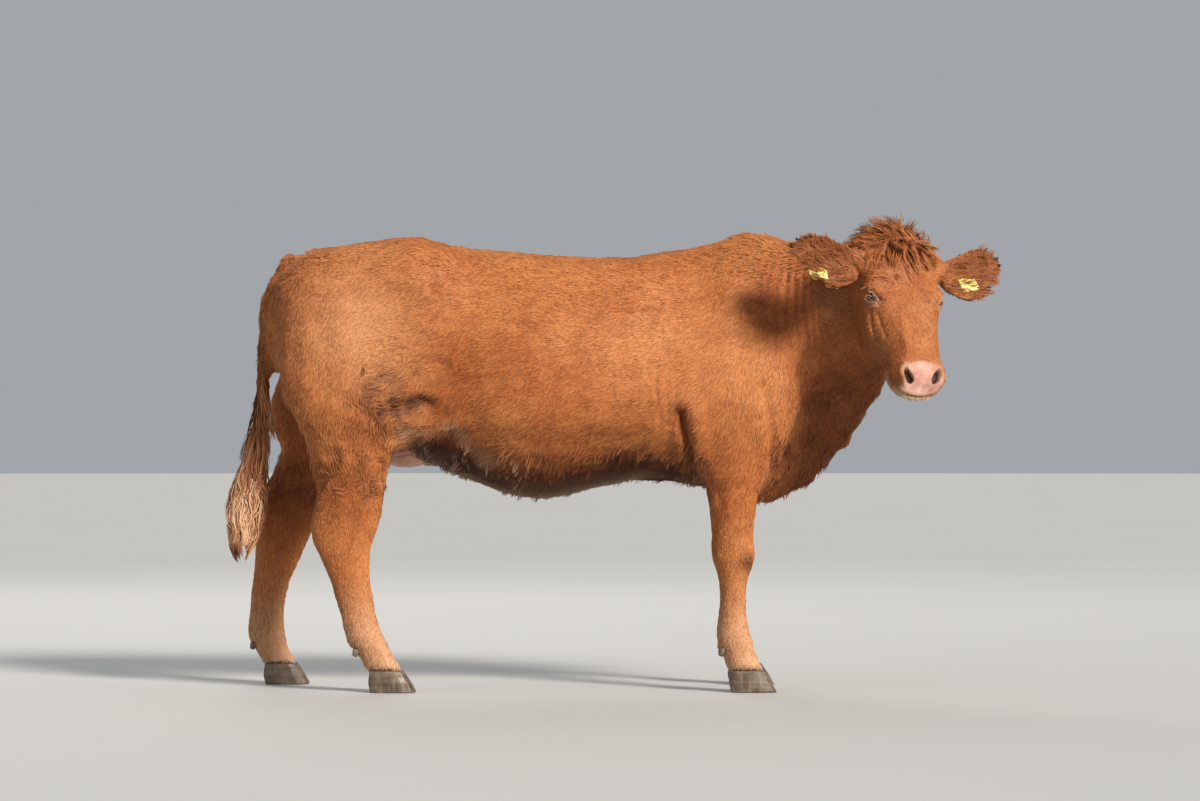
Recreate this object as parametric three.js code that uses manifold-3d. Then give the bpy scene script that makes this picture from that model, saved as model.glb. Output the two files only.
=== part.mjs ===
// A life-size standing beef heifer, head turned to her right, as a museum model in millimetres.
// +X points forwards along the body, +Y to the animal's left, +Z up; the soles stand on z = 0.
//
// The flesh is one smooth field, built from lofted sections and ellipsoids that melt into each other.
// Each node is a stretch of that field, meshed on a grid of its own and parted from its neighbours by
// thin plane cuts. Eyes, claws, dewclaws and ear tags are separate hard pieces.

import * as THREE from "three";
import { mergeVertices } from "three/addons/utils/BufferGeometryUtils.js";
import Module from "manifold-3d";

const wasm = await Module();
wasm.setup();

// ---------------------------------------------------------------- driving dimensions, mm

const CUT_GAP = 0.3; // between two nodes that meet on a plane
const SHIFT = new THREE.Vector3(7, 86, 0); // moves the outline's middle to the origin

// Trunk: sections across X. Each row: x, top z, bottom z, half-width, z of the greatest width.
const TRUNK = [
  [-985, 1165, 930, 70, 1060],
  [-945, 1236, 850, 168, 1035],
  [-870, 1272, 790, 218, 1010],
  [-760, 1284, 740, 246, 1000],
  [-640, 1303, 690, 264, 980],
  [-570, 1310, 662, 272, 960],
  [-480, 1288, 628, 284, 930],
  [-390, 1271, 588, 305, 900],
  [-290, 1265, 556, 326, 880],
  [-180, 1255, 552, 336, 870],
  [-60, 1250, 580, 332, 870],
  [60, 1252, 603, 312, 880],
  [150, 1268, 600, 288, 890],
  [240, 1288, 582, 262, 900],
  [340, 1300, 556, 238, 890],
  [430, 1286, 552, 200, 870],
  [510, 1210, 610, 140, 860],
  [560, 1080, 700, 70, 860],
];
const TRUNK_ROUND = 2.25; // section exponent: 2 is an ellipse, more is boxier

// Forelegs: sections across Z. Each row: z, rear x, front x, half-width, distance of the centre from y = 0.
const FORELEG = [
  [900, 190, 505, 70, 170],
  [800, 200, 480, 82, 178],
  [720, 212, 452, 82, 182],
  [662, 228, 434, 76, 183],
  [605, 241, 425, 68, 182],
  [548, 254, 408, 60, 180],
  [491, 263, 397, 53, 178],
  [434, 268, 394, 52, 177],
  [385, 268, 397, 56, 177],
  [345, 280, 385, 48, 177],
  [319, 289, 374, 39, 178],
  [262, 292, 372, 35, 180],
  [205, 290, 374, 37, 181],
  [168, 281, 384, 45, 182],
  [140, 283, 391, 46, 182],
  [104, 303, 397, 42, 183],
  [80, 314, 408, 45, 184],
  [60, 320, 422, 50, 185],
];
const FORE_STEP = 8; // the left forefoot stands this far ahead of the right one

// Hind legs, right one under the body and left one behind it. Same columns.
const HINDLEG_RIGHT = [
  [980, -930, -640, 78, 168],
  [880, -952, -625, 100, 176],
  [800, -938, -612, 104, 180],
  [734, -906, -616, 92, 182],
  [694, -893, -630, 82, 183],
  [662, -882, -643, 74, 184],
  [605, -866, -655, 62, 185],
  [556, -863, -663, 55, 186],
  [519, -872, -667, 51, 186],
  [476, -880, -676, 50, 187],
  [434, -874, -695, 49, 188],
  [376, -849, -700, 43, 190],
  [319, -823, -700, 38, 192],
  [262, -807, -690, 36, 193],
  [205, -787, -681, 38, 194],
  [168, -782, -664, 46, 195],
  [140, -770, -654, 47, 195],
  [104, -736, -638, 43, 196],
  [80, -720, -624, 46, 197],
  [60, -708, -606, 51, 198],
];
const HINDLEG_LEFT = [
  [980, -965, -660, 78, 168],
  [890, -1006, -660, 100, 176],
  [815, -1022, -675, 102, 180],
  [752, -1018, -705, 93, 182],
  [715, -1000, -728, 85, 184],
  [694, -992, -745, 80, 185],
  [662, -1000, -775, 72, 186],
  [605, -1024, -820, 61, 188],
  [556, -1052, -850, 54, 189],
  [519, -1068, -866, 51, 190],
  [476, -1076, -884, 50, 191],
  [424, -1070, -905, 48, 192],
  [366, -1070, -930, 43, 194],
  [307, -1076, -958, 38, 196],
  [248, -1082, -973, 36, 197],
  [200, -1085, -979, 38, 198],
  [168, -1092, -976, 46, 199],
  [140, -1088, -974, 47, 199],
  [104, -1064, -966, 43, 200],
  [80, -1050, -955, 46, 201],
  [60, -1038, -938, 51, 202],
];

// Claws: two to a foot, side by side, with the coronet CLAW_TOP above the floor.
const CLAW = { top: 62, width: 46, gap: 5, reach: 36 }; // reach: the toe stands this far ahead of the coronet
const DEWCLAW = { height: 116, apart: 21, inset: 4, radii: [12, 11, 17], lean: 25 };

// Neck: sections across its own axis, from inside the shoulder towards the poll.
// Each row: distance along, up radius, down radius, half-width, sideways offset, height offset.
const NECK_FROM = new THREE.Vector3(300, 10, 960);
const NECK_TO = new THREE.Vector3(786, -292, 1150);
const NECK = [
  [0, 250, 250, 150, -5, 0],
  [140, 306, 262, 158, 10, 0],
  [270, 262, 232, 134, 30, 0],
  [390, 192, 196, 104, 40, 0],
  [480, 134, 164, 90, 28, 0],
  [560, 80, 110, 76, 4, 0],
];

// Dewlap and brisket: a fold that hangs from the throat to between the forelegs.
// Each row: x, y, z of its middle, depth below or above the middle, half-width.
const DEWLAP = [
  [744, -196, 985, 62, 56],
  [718, -176, 893, 58, 46],
  [676, -136, 822, 62, 42],
  [622, -84, 752, 74, 46],
  [566, -48, 692, 80, 62],
  [500, -20, 646, 82, 80],
  [420, 0, 630, 80, 96],
];

// Head frame: the poll, and the angles of the face.
const POLL = new THREE.Vector3(790, -310, 1291);
const HEAD_YAW = 26; // degrees from facing -Y, towards +X
const HEAD_PITCH = 30; // degrees of the face line from plumb, muzzle forwards
const HEAD_ROLL = 2.5; // degrees, left side up

// Head: sections across the line from poll to muzzle.
// Each row: distance from the poll, forehead line, jaw line, half-width, line of the greatest width.
const HEAD = [
  [-22, -36, -120, 70, -70],
  [0, -10, -160, 94, -66],
  [40, 4, -204, 106, -66],
  [95, 8, -238, 110, -76],
  [150, 6, -248, 113, -82],
  [200, 2, -236, 112, -86],
  [250, -4, -212, 106, -86],
  [300, -10, -182, 94, -80],
  [350, -16, -156, 85, -76],
  [390, -26, -142, 80, -78],
  [420, -42, -132, 76, -84],
  [444, -62, -122, 64, -92],
  [458, -80, -112, 38, -96],
];
const EYE = { at: [99, -42, 176], radius: 20, opening: [15, 12, 21], depth: 17 };
const NOSTRIL = { at: [42, -44, 424], radii: [13, 17, 27], turn: [34, 0, -28] };
const NOSE_CUT = 384; // the muzzle begins this far from the poll
const MOUTH_LINE = -108; // level of the lips in the head's frame
const NAPE_CUT = { at: [-40, -235, 40], normal: [-0.42, -0.82, -0.38] }; // the head ends here at the back
const THROAT_CUT = { at: [0, -246, 230], normal: [0, -1, 0.05] }; // and here below the jaw

// Ears: a cupped leaf from root to tip. Points are in the head's frame.
const EARS = {
  right: { root: [-106, -46, 78], tip: [-354, -46, 18], mouth: [-0.2, 0.95, 0.2], tag: [144, 66] },
  left: { root: [112, -46, 88], tip: [376, -46, 26], mouth: [0.1, 0.95, 0.25], tag: [110, 50] },
};
const EAR_NECK = 44; // length of the ear's round neck, which belongs to the head
// Each row: distance from the root, reach above and below the axis, thickness.
const EAR = [
  [0, 26, 34, 50],
  [44, 28, 42, 46],
  [66, 38, 78, 30],
  [94, 46, 100, 20],
  [126, 51, 101, 15],
  [160, 56, 84, 13],
  [195, 52, 58, 12],
  [225, 38, 36, 10],
  [252, 12, 10, 7],
];
const EAR_CUP = 34; // how far the edges stand forward of the middle
const EAR_EDGE = 3; // thickness at the edges
const EAR_NECK_RADII = [33, 30]; // at the root and at the far end
const TOPKNOT = { at: [14, -36, -20], radii: [112, 48, 76] };

// Ear tags: a flag in front of the ear, held by a stud that passes through it to a round button behind.
const TAG = { width: 58, height: 46, thickness: 2.5, clear: 4, stud: 4, button: 12 };

// Tail: the dock hangs from the tail head, the switch is its bush of long hair.
// Each row: z, rear x, front x, half-width, distance from y = 0 to the left.
const TAIL = [
  [1236, -965, -880, 34, 0],
  [1190, -996, -915, 34, 0],
  [1136, -1026, -950, 31, 0],
  [1050, -1034, -975, 27, 0],
  [960, -1042, -992, 24, 0],
  [880, -1050, -1006, 22, 0],
  [800, -1056, -1014, 22, 0],
  [720, -1060, -1014, 24, 0],
];
const SWITCH = [
  [770, -1062, -1012, 26, 0],
  [713, -1070, -1006, 32, 0],
  [673, -1100, -1003, 39, 0],
  [588, -1125, -1011, 45, 0],
  [504, -1135, -1025, 45, 0],
  [443, -1127, -1043, 38, 0],
  [391, -1119, -1072, 27, 0],
  [340, -1115, -1088, 16, 0],
  [290, -1112, -1098, 8, 0],
];

const TAIL_LEVELS = [960, 745]; // the dock ends and the switch begins

// Grids on which the flesh is meshed: low corner, high corner and cell. Each reaches past its own cuts.
const GRIDS = {
  rump: [[-1050, -380, 400], [-300, 380, 1370], [110, 85, 84]],
  barrel: [[-720, -400, 400], [350, 400, 1370], [120, 86, 84]],
  chest: [[-40, -390, 400], [690, 390, 1390], [88, 78, 80]],
  thighRight: [[-1060, -350, 560], [-500, 120, 1090], [62, 56, 62]],
  thighLeft: [[-1120, -120, 560], [-500, 350, 1090], [62, 56, 62]],
  neck: [[60, -260, -400], [700, 260, 400], [72, 56, 64]], // along the neck's own axis
  head: [[-190, -290, -130], [190, 50, 500], [38, 38, 38]], // in the head's frame
  tail: [[-1160, -70, 240], [-850, 70, 1290], [36, 25, 62]],
  udder: [[-730, -115, 630], [-490, 115, 770], [34, 32, 28]],
};

// Finishes: colour and roughness.
const COAT = { color: 0xa85a32, roughness: 0.8 };
const HAIR = { color: 0xb08a5c, roughness: 0.9 };
const HORN = { color: 0x3b3029, roughness: 0.45 };
const NOSE = { color: 0xd9a58f, roughness: 0.5 };
const CHIN = { color: 0xc98e6c, roughness: 0.6 };
const TEAT = { color: 0xc98a72, roughness: 0.6 };
const EYEBALL = { color: 0x1a110c, roughness: 0.1 };
const TAG_YELLOW = { color: 0xe3c63f, roughness: 0.4 };

// ---------------------------------------------------------------- small maths

const V = (x, y, z) => new THREE.Vector3(x, y, z);
const rad = THREE.MathUtils.degToRad;

// A smooth curve through the rows of a table: give it the first column, get the other columns.
function through(rows) {
  const last = rows.length - 1;
  const slope = (i, c) => {
    const a = rows[Math.max(i - 1, 0)];
    const b = rows[Math.min(i + 1, last)];
    return (b[c] - a[c]) / (b[0] - a[0]);
  };
  return (w) => {
    let i = 0;
    while (i < last - 1 && (rows[i + 1][0] - w) * Math.sign(rows[last][0] - rows[0][0]) < 0) i++;
    const [a, b] = [rows[i], rows[i + 1]];
    const h = b[0] - a[0];
    const t = THREE.MathUtils.clamp((w - a[0]) / h, 0, 1);
    const [t2, t3] = [t * t, t * t * t];
    return a.slice(1).map((_, k) => {
      const c = k + 1;
      return (2 * t3 - 3 * t2 + 1) * a[c] + (3 * t2 - 2 * t3) * b[c]
        + (t3 - 2 * t2 + t) * h * slope(i, c) + (t3 - t2) * h * slope(i + 1, c);
    });
  };
}

// Signed distance, near enough, to a superellipsoid with these half-axes.
function round(u, v, w, a, b, c, n) {
  const [p, q, r] = [Math.abs(u) / a, Math.abs(v) / b, Math.abs(w) / c];
  const sum = p ** n + q ** n + r ** n;
  if (sum < 1e-9) return -Math.min(a, b);
  const s = sum ** (1 / n);
  const grad = Math.hypot(p ** (n - 1) / a, q ** (n - 1) / b, r ** (n - 1) / c) * s ** (1 - n);
  return Math.max((s - 1) / grad, -Math.max(a, b));
}

// Smooth union of distances: k is the width over which two forms melt together.
function melt(k, ...ds) {
  return ds.reduce((a, b) => {
    const h = Math.max(k - Math.abs(a - b), 0) / k;
    return Math.min(a, b) - (h * h * k) / 4;
  });
}

// ---------------------------------------------------------------- forms

// Sections across one axis. place(w) gives the section's centre and radii there.
function loft(from, to, axes, round_, place, cap) {
  const [axis, up, side] = axes;
  return (p) => {
    const w = p.dot(axis);
    const inside = THREE.MathUtils.clamp(w, from, to);
    const s = place(inside);
    const u = p.dot(up) - s.u;
    const v = p.dot(side) - s.v;
    return round(u, v, w - inside, u > 0 ? s.plus : s.minus, s.half, cap, round_);
  };
}

const [EX, EY, EZ] = [V(1, 0, 0), V(0, 1, 0), V(0, 0, 1)];

const trunkAt = through(TRUNK);
const trunk = loft(TRUNK[0][0], TRUNK.at(-1)[0], [EX, EZ, EY], TRUNK_ROUND, (x) => {
  const [top, bottom, half, mid] = trunkAt(x);
  return { u: mid, v: 0, plus: top - mid, minus: mid - bottom, half };
}, 30);

// A leg or tail: sections across Z. side is -1 for the right, 1 for the left.
function limb(rows, side, ahead = 0, roundness = 2.2, cap = 20) {
  const at = through(rows);
  const ends = [rows[0][0], rows.at(-1)[0]].sort((a, b) => a - b);
  return loft(ends[0], ends[1], [EZ, EX, EY], roundness, (z) => {
    const [rear, front, half, out] = at(z);
    const r = (front - rear) / 2;
    return { u: (front + rear) / 2 + ahead, v: side * out, plus: r, minus: r, half };
  }, cap);
}

const foreRight = limb(FORELEG, -1);
const foreLeft = limb(FORELEG, 1, FORE_STEP);
const hindRight = limb(HINDLEG_RIGHT, -1);
const hindLeft = limb(HINDLEG_LEFT, 1);
const tail = limb(TAIL, 1);
const tailSwitch = limb(SWITCH, 1);

const neckAxis = NECK_TO.clone().sub(NECK_FROM).normalize();
const neckSide = EZ.clone().cross(neckAxis).normalize();
const neckUp = neckAxis.clone().cross(neckSide);
const neckAt = through(NECK);
const neckForm = loft(0, NECK.at(-1)[0], [neckAxis, neckUp, neckSide], 2.1, (w) => {
  const [plus, minus, half, v, u] = neckAt(w);
  return { u, v, plus, minus, half };
}, 40);
const neck = (p) => neckForm(p.clone().sub(NECK_FROM));

// An ellipsoid, turned by Euler angles in degrees.
function egg(at, radii, turn = [0, 0, 0]) {
  const back = new THREE.Quaternion().setFromEuler(new THREE.Euler(...turn.map(rad))).invert();
  const centre = V(...at);
  return (p) => {
    const q = p.clone().sub(centre).applyQuaternion(back);
    return round(q.x, q.y, q.z, ...radii, 2);
  };
}

// A round bar between two points, thick at both ends as given, flattened sideways by flat.
function bar(a, b, ra, rb, flat = 1) {
  const [pa, pb] = [V(...a), V(...b)];
  const ab = pb.clone().sub(pa);
  const side = EZ.clone().cross(ab).normalize();
  return (p) => {
    const ap = p.clone().sub(pa);
    const t = THREE.MathUtils.clamp(ap.dot(ab) / ab.lengthSq(), 0, 1);
    const off = ap.addScaledVector(ab, -t);
    off.addScaledVector(side, (1 / flat - 1) * off.dot(side));
    return off.length() - (ra + (rb - ra) * t);
  };
}

// A swept form along rows of x, y, z, depth and half-width, which turns smoothly from row to row.
const SWEEP_STEPS = 5; // stretches between two rows
function sweep(rows) {
  const at = through(rows.map((row, i) => [i, ...row]));
  const count = (rows.length - 1) * SWEEP_STEPS;
  const stops = Array.from({ length: count + 1 }, (_, i) => at(i / SWEEP_STEPS));
  const points = stops.map(([x, y, z]) => V(x, y, z));
  return (p) => {
    let best = Infinity;
    let near = null;
    for (let i = 0; i < count; i++) {
      const ab = points[i + 1].clone().sub(points[i]);
      const ap = p.clone().sub(points[i]);
      const t = THREE.MathUtils.clamp(ap.dot(ab) / ab.lengthSq(), 0, 1);
      const off = ap.addScaledVector(ab, -t);
      if (off.lengthSq() < best) [best, near] = [off.lengthSq(), { i, t, off, ab }];
    }
    const [a, b] = [stops[near.i], stops[near.i + 1]];
    const depth = a[3] + (b[3] - a[3]) * near.t;
    const half = a[4] + (b[4] - a[4]) * near.t;
    const side = EZ.clone().cross(near.ab).normalize();
    const across = near.off.dot(side);
    const deep = near.off.addScaledVector(side, -across).length();
    return round(across, deep, 0, half, depth, 1, 2);
  };
}
const dewlap = sweep(DEWLAP);

// Muscles and bones that lift the skin, right side first; each is mirrored to the left.
const BULGES = [
  [[-560, -172, 1176], [130, 74, 84]], // hook bone
  [[-940, -100, 1120], [62, 56, 66]], // pin bone
  [[-800, -165, 960], [175, 100, 210]], // thigh
  [[-640, -205, 820], [90, 62, 120], [0, -20, 0]], // stifle
  [[330, -170, 990], [120, 74, 230], [0, 14, 0]], // shoulder blade
  [[300, -190, 800], [130, 66, 130], [0, 10, 0]], // triceps
  [[440, -160, 800], [92, 70, 130], [0, -8, 0]], // point of shoulder
];
const bulges = BULGES.flatMap(([at, radii, turn = [0, 0, 0]]) => [
  egg(at, radii, turn),
  egg([at[0], -at[1], at[2]], radii, [-turn[0], turn[1], -turn[2]]),
]);

const udder = (p) => melt(
  24,
  egg([-610, 0, 700], [105, 95, 62])(p),
  ...[[-566, -48], [-566, 48], [-640, -42], [-640, 42]].map(([x, y]) =>
    bar([x, y, 690], [x, y, 646], 15, 11)(p)),
);

// ---------------------------------------------------------------- the head's frame

const headFrame = (() => {
  const [yaw, pitch] = [rad(HEAD_YAW), rad(HEAD_PITCH)];
  const ahead = V(Math.sin(yaw), -Math.cos(yaw), 0);
  const left = EZ.clone().cross(ahead);
  const face = ahead.clone().multiplyScalar(Math.cos(pitch)).addScaledVector(EZ, Math.sin(pitch));
  const down = left.clone().cross(face);
  const m = new THREE.Matrix4().makeBasis(left, face, down);
  const roll = new THREE.Matrix4().makeRotationAxis(ahead, -rad(HEAD_ROLL));
  return roll.multiply(m).setPosition(POLL);
})();
const toHead = headFrame.clone().invert();

const headAt = through(HEAD);
const skull = loft(HEAD[0][0], HEAD.at(-1)[0], [EZ, EY, EX], 2.4, (z) => {
  const [top, jaw, half, mid] = headAt(z);
  return { u: mid, v: 0, plus: top - mid, minus: mid - jaw, half };
}, 14);

// Forms of one side of the head, in its frame; mirrored to the other side.
const HEAD_FORMS = [
  egg([86, -36, 172], [37, 32, 46]), // brow and orbit
  egg([60, -182, 116], [44, 72, 88]), // cheek muscle and angle of the jaw
  bar([90, -80, 206], [66, -80, 310], 22, 16), // cheek bone
  egg([44, -64, 418], [34, 34, 38]), // nostril wing
  egg([40, -98, 412], [34, 26, 40]), // upper lip
  egg([90, -56, 28], [50, 48, 52]), // temple
];
const HEAD_MIDDLE = [
  egg([0, -18, 8], [70, 34, 40]), // poll
  egg(TOPKNOT.at, TOPKNOT.radii), // topknot
  egg([0, -122, 402], [50, 22, 46]), // chin
];

const earFrames = Object.values(EARS).map(({ root, tip, mouth }) => {
  const along = V(...tip).sub(V(...root)).normalize();
  const across = V(...mouth).cross(along).normalize();
  const open = along.clone().cross(across);
  return new THREE.Matrix4().makeBasis(along, across, open).setPosition(...root);
});
const earNecks = Object.values(EARS).map(({ root, tip }) => {
  const end = V(...root).lerp(V(...tip), EAR_NECK / V(...root).distanceTo(V(...tip)));
  return bar(root, end.toArray(), ...EAR_NECK_RADII);
});

function head(p) {
  const q = p.clone().applyMatrix4(toHead);
  const m = V(Math.abs(q.x), q.y, q.z);
  return melt(26, skull(q), ...HEAD_FORMS.map((f) => f(m)), ...[...HEAD_MIDDLE, ...earNecks].map((f) => f(q)));
}

// ---------------------------------------------------------------- the whole flesh

function torso(p) {
  const core = melt(80, trunk(p), neck(p), dewlap(p), ...bulges.map((b) => b(p)));
  return melt(30, core, udder(p));
}

function flesh(p) {
  const limbs = [foreRight, foreLeft, hindRight, hindLeft].map((f) => f(p));
  return melt(40, melt(24, torso(p), head(p)), ...limbs);
}

// ---------------------------------------------------------------- meshing

// Surface nets: one vertex for each cell that the surface crosses, pulled onto the surface, or to a
// distance of grow outside it.
function net(field, low, high, cell, frame = new THREE.Matrix4(), grow = 0) {
  const size = V(...high).sub(V(...low));
  const n = ["x", "y", "z"].map((k, i) => Math.max(3, Math.ceil(size[k] / cell[i])));
  const step = V(size.x / n[0], size.y / n[1], size.z / n[2]);
  const at = (i, j, k) => V(low[0] + i * step.x, low[1] + j * step.y, low[2] + k * step.z).applyMatrix4(frame);
  const id = (i, j, k) => (k * (n[1] + 1) + j) * (n[0] + 1) + i;
  const value = new Float64Array((n[0] + 1) * (n[1] + 1) * (n[2] + 1));
  for (let k = 0; k <= n[2]; k++)
    for (let j = 0; j <= n[1]; j++)
      for (let i = 0; i <= n[0]; i++) {
        const edge = i * j * k === 0 || i === n[0] || j === n[1] || k === n[2];
        const d = field(at(i, j, k));
        value[id(i, j, k)] = edge ? Math.max(d, 1) : d;
      }
  const points = [];
  const cellPoint = new Map();
  const corners = [0, 1, 2, 3, 4, 5, 6, 7].map((c) => [c & 1, (c >> 1) & 1, c >> 2]);
  const edges = corners.flatMap((a, x) => corners.slice(x + 1).filter((b) =>
    Math.abs(a[0] - b[0]) + Math.abs(a[1] - b[1]) + Math.abs(a[2] - b[2]) === 1).map((b) => [a, b]));
  for (let k = 0; k < n[2]; k++)
    for (let j = 0; j < n[1]; j++)
      for (let i = 0; i < n[0]; i++) {
        const sum = V(0, 0, 0);
        let count = 0;
        for (const [a, b] of edges) {
          const va = value[id(i + a[0], j + a[1], k + a[2])];
          const vb = value[id(i + b[0], j + b[1], k + b[2])];
          if (va < 0 === vb < 0) continue;
          const t = va / (va - vb);
          sum.add(V(...a.map((x, c) => x + (b[c] - x) * t)));
          count++;
        }
        if (!count) continue;
        sum.divideScalar(count);
        cellPoint.set(id(i, j, k), points.length);
        points.push(at(i + sum.x, j + sum.y, k + sum.z));
      }
  const triangles = [];
  const dirs = [[1, 0, 0], [0, 1, 0], [0, 0, 1]];
  for (let k = 0; k <= n[2]; k++)
    for (let j = 0; j <= n[1]; j++)
      for (let i = 0; i <= n[0]; i++)
        for (let c = 0; c < 3; c++) {
          const d = dirs[c];
          if (i + d[0] > n[0] || j + d[1] > n[1] || k + d[2] > n[2]) continue;
          const va = value[id(i, j, k)];
          const vb = value[id(i + d[0], j + d[1], k + d[2])];
          if (va < 0 === vb < 0) continue;
          const [u, v] = [dirs[(c + 1) % 3], dirs[(c + 2) % 3]];
          const quad = [[0, 0], [1, 0], [1, 1], [0, 1]].map(([a, b]) =>
            cellPoint.get(id(i - a * u[0] - b * v[0], j - a * u[1] - b * v[1], k - a * u[2] - b * v[2])));
          if (va >= 0) quad.reverse();
          triangles.push(quad[0], quad[1], quad[2], quad[0], quad[2], quad[3]);
        }
  pullOnto((p) => field(p) - grow, points, Math.max(...cell));
  return solid(points, triangles);
}

// Moves points onto the field's zero surface along its gradient, by at most half a cell in all.
function pullOnto(field, points, cell) {
  const e = 0.5;
  for (const p of points) {
    const start = p.clone();
    for (let turn = 0; turn < 3; turn++) {
      const d = field(p);
      const g = V(...[EX, EY, EZ].map((a) => (field(p.clone().addScaledVector(a, e)) - d) / e));
      const len = g.lengthSq();
      if (len < 0.05) break;
      p.addScaledVector(g, -d / len);
    }
    const moved = p.clone().sub(start);
    if (!(moved.length() < cell * 0.6)) p.copy(start);
  }
}

function solid(points, triangles) {
  const vertProperties = new Float32Array(points.flatMap((p) => [p.x, p.y, p.z]));
  return new wasm.Manifold(new wasm.Mesh({ numProp: 3, vertProperties, triVerts: new Uint32Array(triangles) }));
}

// A three.js geometry as a solid, placed by a matrix.
function solidOf(geometry, matrix = new THREE.Matrix4()) {
  const g = geometry.clone().applyMatrix4(matrix);
  g.deleteAttribute("normal");
  g.deleteAttribute("uv");
  const merged = mergeVertices(g, 1e-3);
  return new wasm.Manifold(new wasm.Mesh({
    numProp: 3,
    vertProperties: new Float32Array(merged.attributes.position.array),
    triVerts: new Uint32Array(merged.index.array),
  }));
}

// Cuts away what lies beyond a plane. The cut stands back by half the gap, or by the distance given.
const FAR = 6000;
function trim(body, [point, normal], back = CUT_GAP / 2) {
  const turn = new THREE.Quaternion().setFromUnitVectors(EZ, normal);
  const middle = point.clone().addScaledVector(normal, FAR / 2 - back);
  const place = new THREE.Matrix4().compose(middle, turn, V(1, 1, 1));
  return body.subtract(solidOf(new THREE.BoxGeometry(FAR, FAR, FAR), place));
}

// Plane through a point, facing along a direction; both may be given in another frame.
function plane(at, facing, frame = new THREE.Matrix4()) {
  return [V(...at).applyMatrix4(frame), V(...facing).normalize().transformDirection(frame)];
}

const flip = ([point, normal]) => [point, normal.clone().negate()];
const between = (body, ...planes) => planes.reduce((b, cut) => trim(b, cut), body);
const level = (z) => plane([0, 0, z], [0, 0, 1]);

function largest(body) {
  return body.decompose().sort((a, b) => b.volume() - a.volume())[0];
}

// An ear's leaf, closed all round: down is 1 where the frame's second axis points down, else -1.
const LEAF_STEPS = [8, 6]; // along and across
const dish = (width) => EAR_CUP * Math.min(width / 140, 1);
function leaf(frame, down, length) {
  const at = through(EAR);
  const [n, m] = LEAF_STEPS;
  const last = EAR.at(-1)[0];
  const points = [];
  for (const face of [-1, 1])
    for (let i = 0; i <= n; i++)
      for (let j = 0; j <= m; j++) {
        const [up, low, thick] = at((last * i) / n);
        const x = (length * i) / n;
        const v = Math.sin((Math.PI / 2) * ((2 * j) / m - 1));
        const y = (low - up) / 2 + (v * (low + up)) / 2;
        const here = EAR_EDGE + (thick - EAR_EDGE) * Math.sqrt(1 - v * v);
        points.push(V(x, down * y, dish(up + low) * v * v + (face * here) / 2).applyMatrix4(frame));
      }
  const id = (face, i, j) => (face * (n + 1) + i) * (m + 1) + j;
  const quads = [];
  for (let i = 0; i < n; i++)
    for (let j = 0; j < m; j++) {
      quads.push([id(1, i, j), id(1, i + 1, j), id(1, i + 1, j + 1), id(1, i, j + 1)]);
      quads.push([id(0, i, j), id(0, i, j + 1), id(0, i + 1, j + 1), id(0, i + 1, j)]);
    }
  for (let i = 0; i < n; i++)
    for (const [j, k] of [[0, 1], [m, 0]])
      quads.push([id(k, i, j), id(1 - k, i, j), id(1 - k, i + 1, j), id(k, i + 1, j)]);
  for (let j = 0; j < m; j++)
    for (const [i, k] of [[0, 0], [n, 1]])
      quads.push([id(k, i, j), id(1 - k, i, j), id(1 - k, i, j + 1), id(k, i, j + 1)]);
  if (down < 0) quads.forEach((q) => q.reverse());
  return solid(points, quads.flatMap(([a, b, c, d]) => [a, b, c, a, c, d]));
}

// ---------------------------------------------------------------- the model

const model = new THREE.Group();
model.position.copy(SHIFT);

const SLIVER = 0.3; // edges that a cut leaves shorter than this are closed up
function finish(name, body, look) {
  const mesh = largest(body).simplify(SLIVER).getMesh();
  const g = new THREE.BufferGeometry();
  const v = new Float32Array(mesh.numVert * 3);
  for (let i = 0; i < mesh.numVert; i++)
    v.set(mesh.vertProperties.subarray(i * mesh.numProp, i * mesh.numProp + 3), i * 3);
  g.setAttribute("position", new THREE.BufferAttribute(v, 3));
  g.setIndex(new THREE.BufferAttribute(mesh.triVerts, 1));
  g.computeVertexNormals();
  const made = new THREE.Mesh(g, new THREE.MeshStandardMaterial({ ...look, metalness: 0 }));
  made.name = name;
  model.add(made);
}

// A body grown a little, to make room for it in its neighbour.
const ROOM = 0.9;

// Trunk, in stretches from the tail to the neck.
const LOIN = plane([-500, 0, 900], [1, 0, 0]);
const GIRTH = plane([130, 0, 900], [1, 0, 0]);
const SHOULDER = plane([520, -40, 900], [0.93, -0.3, 0.2]);
const GROIN = plane([-545, 0, 655], [0.714, 0, 1]); // thighs lie below it
const NAPE = plane(NAPE_CUT.at, NAPE_CUT.normal, headFrame);
const THROAT = plane(THROAT_CUT.at, THROAT_CUT.normal, headFrame);
const FORE_LEVELS = [540, 434, 338, 150, CLAW.top];
const HIND_LEVELS = [690, 548, 420, 150, CLAW.top];
const fleshOn = (grid, frame) => net(flesh, ...GRIDS[grid], frame);

const allTail = (p) => melt(12, tail(p), tailSwitch(p));
const tailBody = net(allTail, ...GRIDS.tail);
const tailRoom = net(allTail, ...GRIDS.tail, undefined, ROOM);

finish("rump", between(fleshOn("rump"), LOIN, flip(GROIN)).subtract(tailRoom), COAT);
finish("barrel", between(fleshOn("barrel"), flip(LOIN), GIRTH), COAT);
finish("chest", between(fleshOn("chest"), flip(GIRTH), SHOULDER, flip(level(FORE_LEVELS[0]))), COAT);

// Thighs meet at the middle plane and end above the hock.
for (const [name, grid, side] of [["thigh_right", "thighRight", -1], ["thigh_left", "thighLeft", 1]]) {
  const middle = plane([0, 0, 0], [0, -side, 0]);
  const thigh = between(fleshOn(grid), GROIN, middle, flip(level(HIND_LEVELS[0])));
  finish(name, thigh.subtract(tailRoom), COAT);
}

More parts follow.
